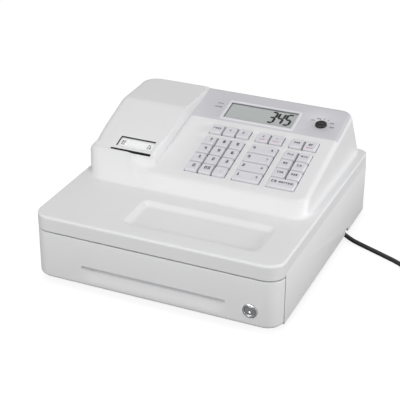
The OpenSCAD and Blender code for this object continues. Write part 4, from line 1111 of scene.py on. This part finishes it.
# Words stand round the knob, the longer ones further out, and beside the display
prints = bmesh.new()
for text, angle in (("OFF", 148), ("REG", 115), ("X", 88), ("Z", 62), ("CAL", 30), ("PGM", -8)):
    away = 15.5 if len(text) == 3 else 13.5
    turn = math.radians(angle)
    letter(prints, text, on_deck, KNOB[0] + away * math.cos(turn), KNOB[1] + 13.5 * math.sin(turn),
           2.2, 0.5, 0)
for text, y in (("TOTAL", 168), ("CHANGE", 160)):
    letter(prints, text, on_deck, -34, y, 1.8, 0.45, 0)
on_paper = lambda x, y, up: on_slope(x, y, up - 2.74)
for text, x, y in (("NO", -120, 25), ("01", -120, 20.5), ("TL", -82, 25), ("CA", -82, 20.5)):
    letter(prints, text, on_paper, x, y, 2.8, 0.7, 0)
panel_prints = piece(prints, "panel_prints", grey_ink)
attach(panel_prints, "cabinet")

# Liquid-crystal cell: grey-green, with the faint rows of its electrodes every 0.8 mm
cell_green, tree = blank_material("liquid_crystal_cell")
where = add(tree, "ShaderNodeTexCoord")
rows = add(tree, "ShaderNodeTexWave", {"Vector": where.outputs["Object"], "Scale": 1 / (5 * MM),
                                       "Distortion": 0.4, "Detail": 1.0}, wave_type="BANDS")
surface(tree, {"Base Color": blend(tree, rows.outputs["Fac"], "#BFC4C3", "#C5CAC9"), "IOR": 1.5,
               "Roughness": spread(tree, rows.outputs["Fac"], 0.3, 0.36)})
repaint("lcd_modules", cell_green)
# Switched-on segments: black under the glass
segment_black = toned("dark_crystal_segments", "#050606", "#0B0C0C", 0.8, (0.3, 0.4))


def segment(mesh, x, y, width, height, name, weight, place, slant):
    """One bar of a seven-segment figure, with its pointed ends"""
    half = height / 2
    ends = {"t": ((0, height), (width, height)), "x": ((0, 0), (width, 0)),
            "v": ((0, half), (width, half)), "y": ((0, half), (0, height)),
            "u": ((width, half), (width, height)), "z": ((0, 0), (0, half)),
            "w": ((width, 0), (width, half))}[name]
    a, b = (Vector(e) for e in ends)
    along = (b - a).normalized()
    side = Vector((-along.y, along.x)) * weight / 2
    a, b = a + along * weight * 0.02, b - along * weight * 0.02
    tip = along * weight / 2
    outline = [a, a + tip + side, b - tip + side, b, b - tip - side, a + tip - side]
    mesh.faces.new([mesh.verts.new(place(x + p.x + p.y * slant, y + p.y, 0)) for p in outline][::-1])


DIGIT = (40.6, 148.4, 7.6, 23)
DIGIT_PITCH = 11.3
DIGIT_WEIGHT = 3.3
DIGIT_SLANT = 0.07
GLASS_DOWN = 2.57


def figures(mesh):
    shown = ("tuvwx", "yvuw", "tyvwx")
    x, y, width, height = DIGIT
    for k, bars in enumerate(shown):
        for bar in bars:
            segment(mesh, x + k * DIGIT_PITCH, y, width, height, bar, DIGIT_WEIGHT,
                    lambda x, y, up: on_deck(x, y, -GLASS_DOWN), DIGIT_SLANT)


joined("display_figures", segment_black, "cabinet", figures)

# Glass-filled nylon knob: satin black, its grip bar a little glossier
knob_black = moulded("moulded_nylon_black", "#0E0E10", "#161618", (0.28, 0.4), 0.6, 0.2)
eased("mode_rotor", "mode_knob", 0.5, knob_black, "rotor", "knob", 3)

# ---- Key caps ----------------------------------------------------------------------------------
# Double-shot ABS caps on square stems stand close together in their wells. Each has sloped sides,
# a dished top and its figure or function printed on it.

KEYS = {}
for r, row in enumerate(("789", "456", "123")):
    for c, sign in enumerate(row):
        KEYS["key_" + sign] = (PAD_X + (c - 1) * KEY_PITCH, ROW_START + (3 - r) * KEY_PITCH, 1,
                               [(sign, 1.5, 1.2, 4.4, 1.1)])
for c, (key, sign) in enumerate((("0", "0"), ("00", "00"), ("point", "."))):
    KEYS["key_" + key] = (PAD_X + (c - 1) * KEY_PITCH, ROW_START, 1, [(sign, 1, 1.2, 4.4, 1.1)])
for r in range(4):
    KEYS["key_dept_%d" % (r + 1)] = (DEPT_X, ROW_START + r * KEY_PITCH, 2,
                                     [(str(r + 1), -12.5, 1, 4.2, 1.1), (str(r + 5), 12.5, 1, 2.8, 0.7)])
for r, pair in enumerate(((("plu", "PLU"), ("price", "PRICE")), (("no_sale", "NS"), ("check", "CH")),
                          (("charge", "CHG"), ("subtotal", "SUB")))):
    for c, (key, text) in enumerate(pair):
        height = 3.4 if len(text) < 3 else 2.6
        KEYS["key_" + key] = (TOTAL_X + (c - 0.5) * KEY_PITCH, ROW_START + (3 - r) * KEY_PITCH, 1,
                              [(text, 0, 1, height, 0.75)])
KEYS["key_cash"] = (TOTAL_X, ROW_START, 2, [("CA", -11, 1, 3.6, 0.9), ("AMT", 0, 1, 3, 0.75),
                                            ("TEND", 10.5, 1, 3, 0.75)])
for key, x, text, line in (("feed", -14.5, "FEED", 0), ("times", 4.5, "*", 0), ("clear", 23.5, "C", 0),
                           ("percent", 51.5, "%", 1), ("minus", 70.5, "-", 1),
                           ("shift", 98.5, "ERR", 0), ("void", 117.5, "RF", 1)):
    KEYS["key_" + key] = (x, FUNCTION_ROW, 1, [(text, 0, 0.8, 3.4 if len(text) < 3 else 2.4, 0.75),
                                               ("line", line, 0, 0, 0)])

# Key plastic: cool off-white, a finer grain and a little more gloss than the case
abs_key = moulded("moulded_abs_cool_white", "#CFCED3", "#D4D3D8", (0.34, 0.44), 0.3, 0.2)
CAP_RINGS = ((0.9, -1.0), (0.3, -1.2), (0, -1.0), (0, 0.5), (0.1, 0.8), (0.75, 2.5), (0.95, 2.95),
             (1.3, 3.25), (1.9, 3.36), (2.6, 3.33), (4.2, 3.2), (5.8, 3.12))
CAP_GAP = 1.3
STEM = 3
DISH_PRINT = 3.22
EDGE_PRINT = 3.34
for key, (x, along, width, prints) in KEYS.items():
    half_x = (width * KEY_PITCH - CAP_GAP) / 2
    half_y = (KEY_PITCH - CAP_GAP) / 2
    cap = bmesh.new()
    plan = (x - half_x, x + half_x, along - half_y, along + half_y)
    rings = []
    for inset, up in CAP_RINGS:
        outline = box_outline(plan, max(1.1, 1.6 - inset * 0.2), 4, inset)
        rings.append([on_deck(p.x, p.y, up) for p in outline])
    close_rings(cap, rings)
    prism(cap, box_outline((x - STEM, x + STEM, along - STEM, along + STEM), 0.5, 2), -7.5, -0.95, on_deck)
    for text, dx, dy, height, weight in prints:
        if text == "line":
            if dx:
                letter(cap, "-", lambda a, b, up: on_deck(a, b, EDGE_PRINT + up), x, along - half_y + 2.9,
                       16, 0.9, 2)
            continue
        letter(cap, text, lambda a, b, up: on_deck(a, b, DISH_PRINT + up), x + dx, along + dy, height,
               weight, 1)
    made = piece(cap, key + "_cap_moulding", abs_key)
    for extra in (grey_ink, red_ink):
        made.data.materials.append(extra)
    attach(made, key + "_cap")
    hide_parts(key)

# ---- Cash drawer -------------------------------------------------------------------------------
# A folded and spot-welded tub of zinc-coated sheet runs on a pair of rails and rollers. The black
# tray in it has four note slots with sprung clips and two rows of coin cups.

# Zinc-coated sheet: grey metal, soft spangles of about 6 mm
zinc, tree = blank_material("hot_dip_zinc_sheet")
where = add(tree, "ShaderNodeTexCoord")
spangle = add(tree, "ShaderNodeTexVoronoi", {"Vector": where.outputs["Object"],
                                             "Scale": 1 / (6 * MM)})
grey = add(tree, "ShaderNodeRGBToBW", {"Color": spangle.outputs["Color"]})
surface(tree, {"Base Color": blend(tree, grey.outputs[0], "#A9ABAE", "#BEC0C2"), "Metallic": 1.0,
               "Roughness": spread(tree, grey.outputs[0], 0.32, 0.5)})
spring_steel = toned("blued_spring_steel", "#7C7E82", "#8E9094", 3, (0.3, 0.42), 0, 1.0)
nylon = moulded("moulded_nylon_natural", "#D8D6CE", "#E0DED6", (0.35, 0.5))
tray_black = moulded("moulded_abs_tray_black", "#1C1C1E", "#262628", (0.5, 0.65), 0.8, 0.35)
for node, name, radius, material, body, slot in (
        ("drawer_tub", "drawer_tub_sheet", 0.4, zinc, "drawer", "steel"),
        ("cash_tray", "cash_tray_moulding", 0.8, tray_black, "drawer", "tray"),
        ("bill_clips", "note_clips", 0.3, spring_steel, "clips", "steel"),
        ("drawer_rails", "drawer_rails_sheet", 0.3, zinc, "cabinet", "steel"),
        ("drawer_rollers", "drawer_rollers_nylon", 0.6, nylon, "rollers", "nylon"),
        ("drawer_latch", "release_hook", 0.4, spring_steel, "latch", "steel"),
        ("chassis_plate", "chassis_plate_sheet", 0.3, zinc, "cabinet", "steel")):
    eased(node, name, radius, material, body, slot)
screw_zinc = toned("zinc_plated_screw", "#B4B5B2", "#C8C8C4", 2, (0.25, 0.35), 0, 1.0)
eased("case_screws", "case_screws_heads", 0.15, screw_zinc, "cabinet", "steel")

# ---- Printer and boards ------------------------------------------------------------------------
# Behind the cover a black frame carries the receipt roll, the rubber platen with its gear and the
# feed motor. The main board and the keyboard's board lie under the deck.

# Woven glass board under green mask, with copper tracks 2.5 mm apart that show as paler lines
circuit, tree = blank_material("green_masked_board")
where = add(tree, "ShaderNodeTexCoord")
tracks = add(tree, "ShaderNodeTexBrick", {"Vector": where.outputs["Object"], "Scale": 1 / (20 * MM),
                                          "Color1": linear("#1D5C36"), "Color2": linear("#22683E"),
                                          "Mortar": linear("#3C8355"), "Mortar Size": 0.012})
surface(tree, {"Base Color": tracks.outputs["Color"], "Roughness": 0.35, "IOR": 1.5})
motor_zinc = toned("plated_motor_can", "#9A9B9E", "#A8A9AC", 4, (0.22, 0.34), 0, 1.0)
ground_rubber = moulded("ground_platen_rubber", "#1A1A1B", "#242425", (0.75, 0.9), 0.5, 0.5)
for node, name, radius, material, body, slot in (
        ("main_board", "main_board_assembly", 0.2, circuit, "cabinet", "circuit"),
        ("keyboard_board", "keyboard_board_assembly", 0.2, circuit, "cabinet", "circuit"),
        ("printer_frame", "printer_frame_moulding", 0.4, black_moulding, "cabinet", "mechanism"),
        ("feed_motor", "feed_motor_can", 0.5, motor_zinc, "cabinet", "motor"),
        ("platen_roller", "platen_roller_ground", 0.4, ground_rubber, "platen", "platen"),
        ("paper_roll", "receipt_roll", 0.3, paper, "roll", "paper"),
        ("mode_switch", "mode_switch_body", 0.5, black_moulding, "cabinet", "switch"),
        ("cord_gland", "cord_gland_moulding", 0.6, black_moulding, "cabinet", "plug"),
        ("plug", "plug_moulding", 1.2, black_moulding, "cabinet", "plug")):
    eased(node, name, radius, material, body, slot)
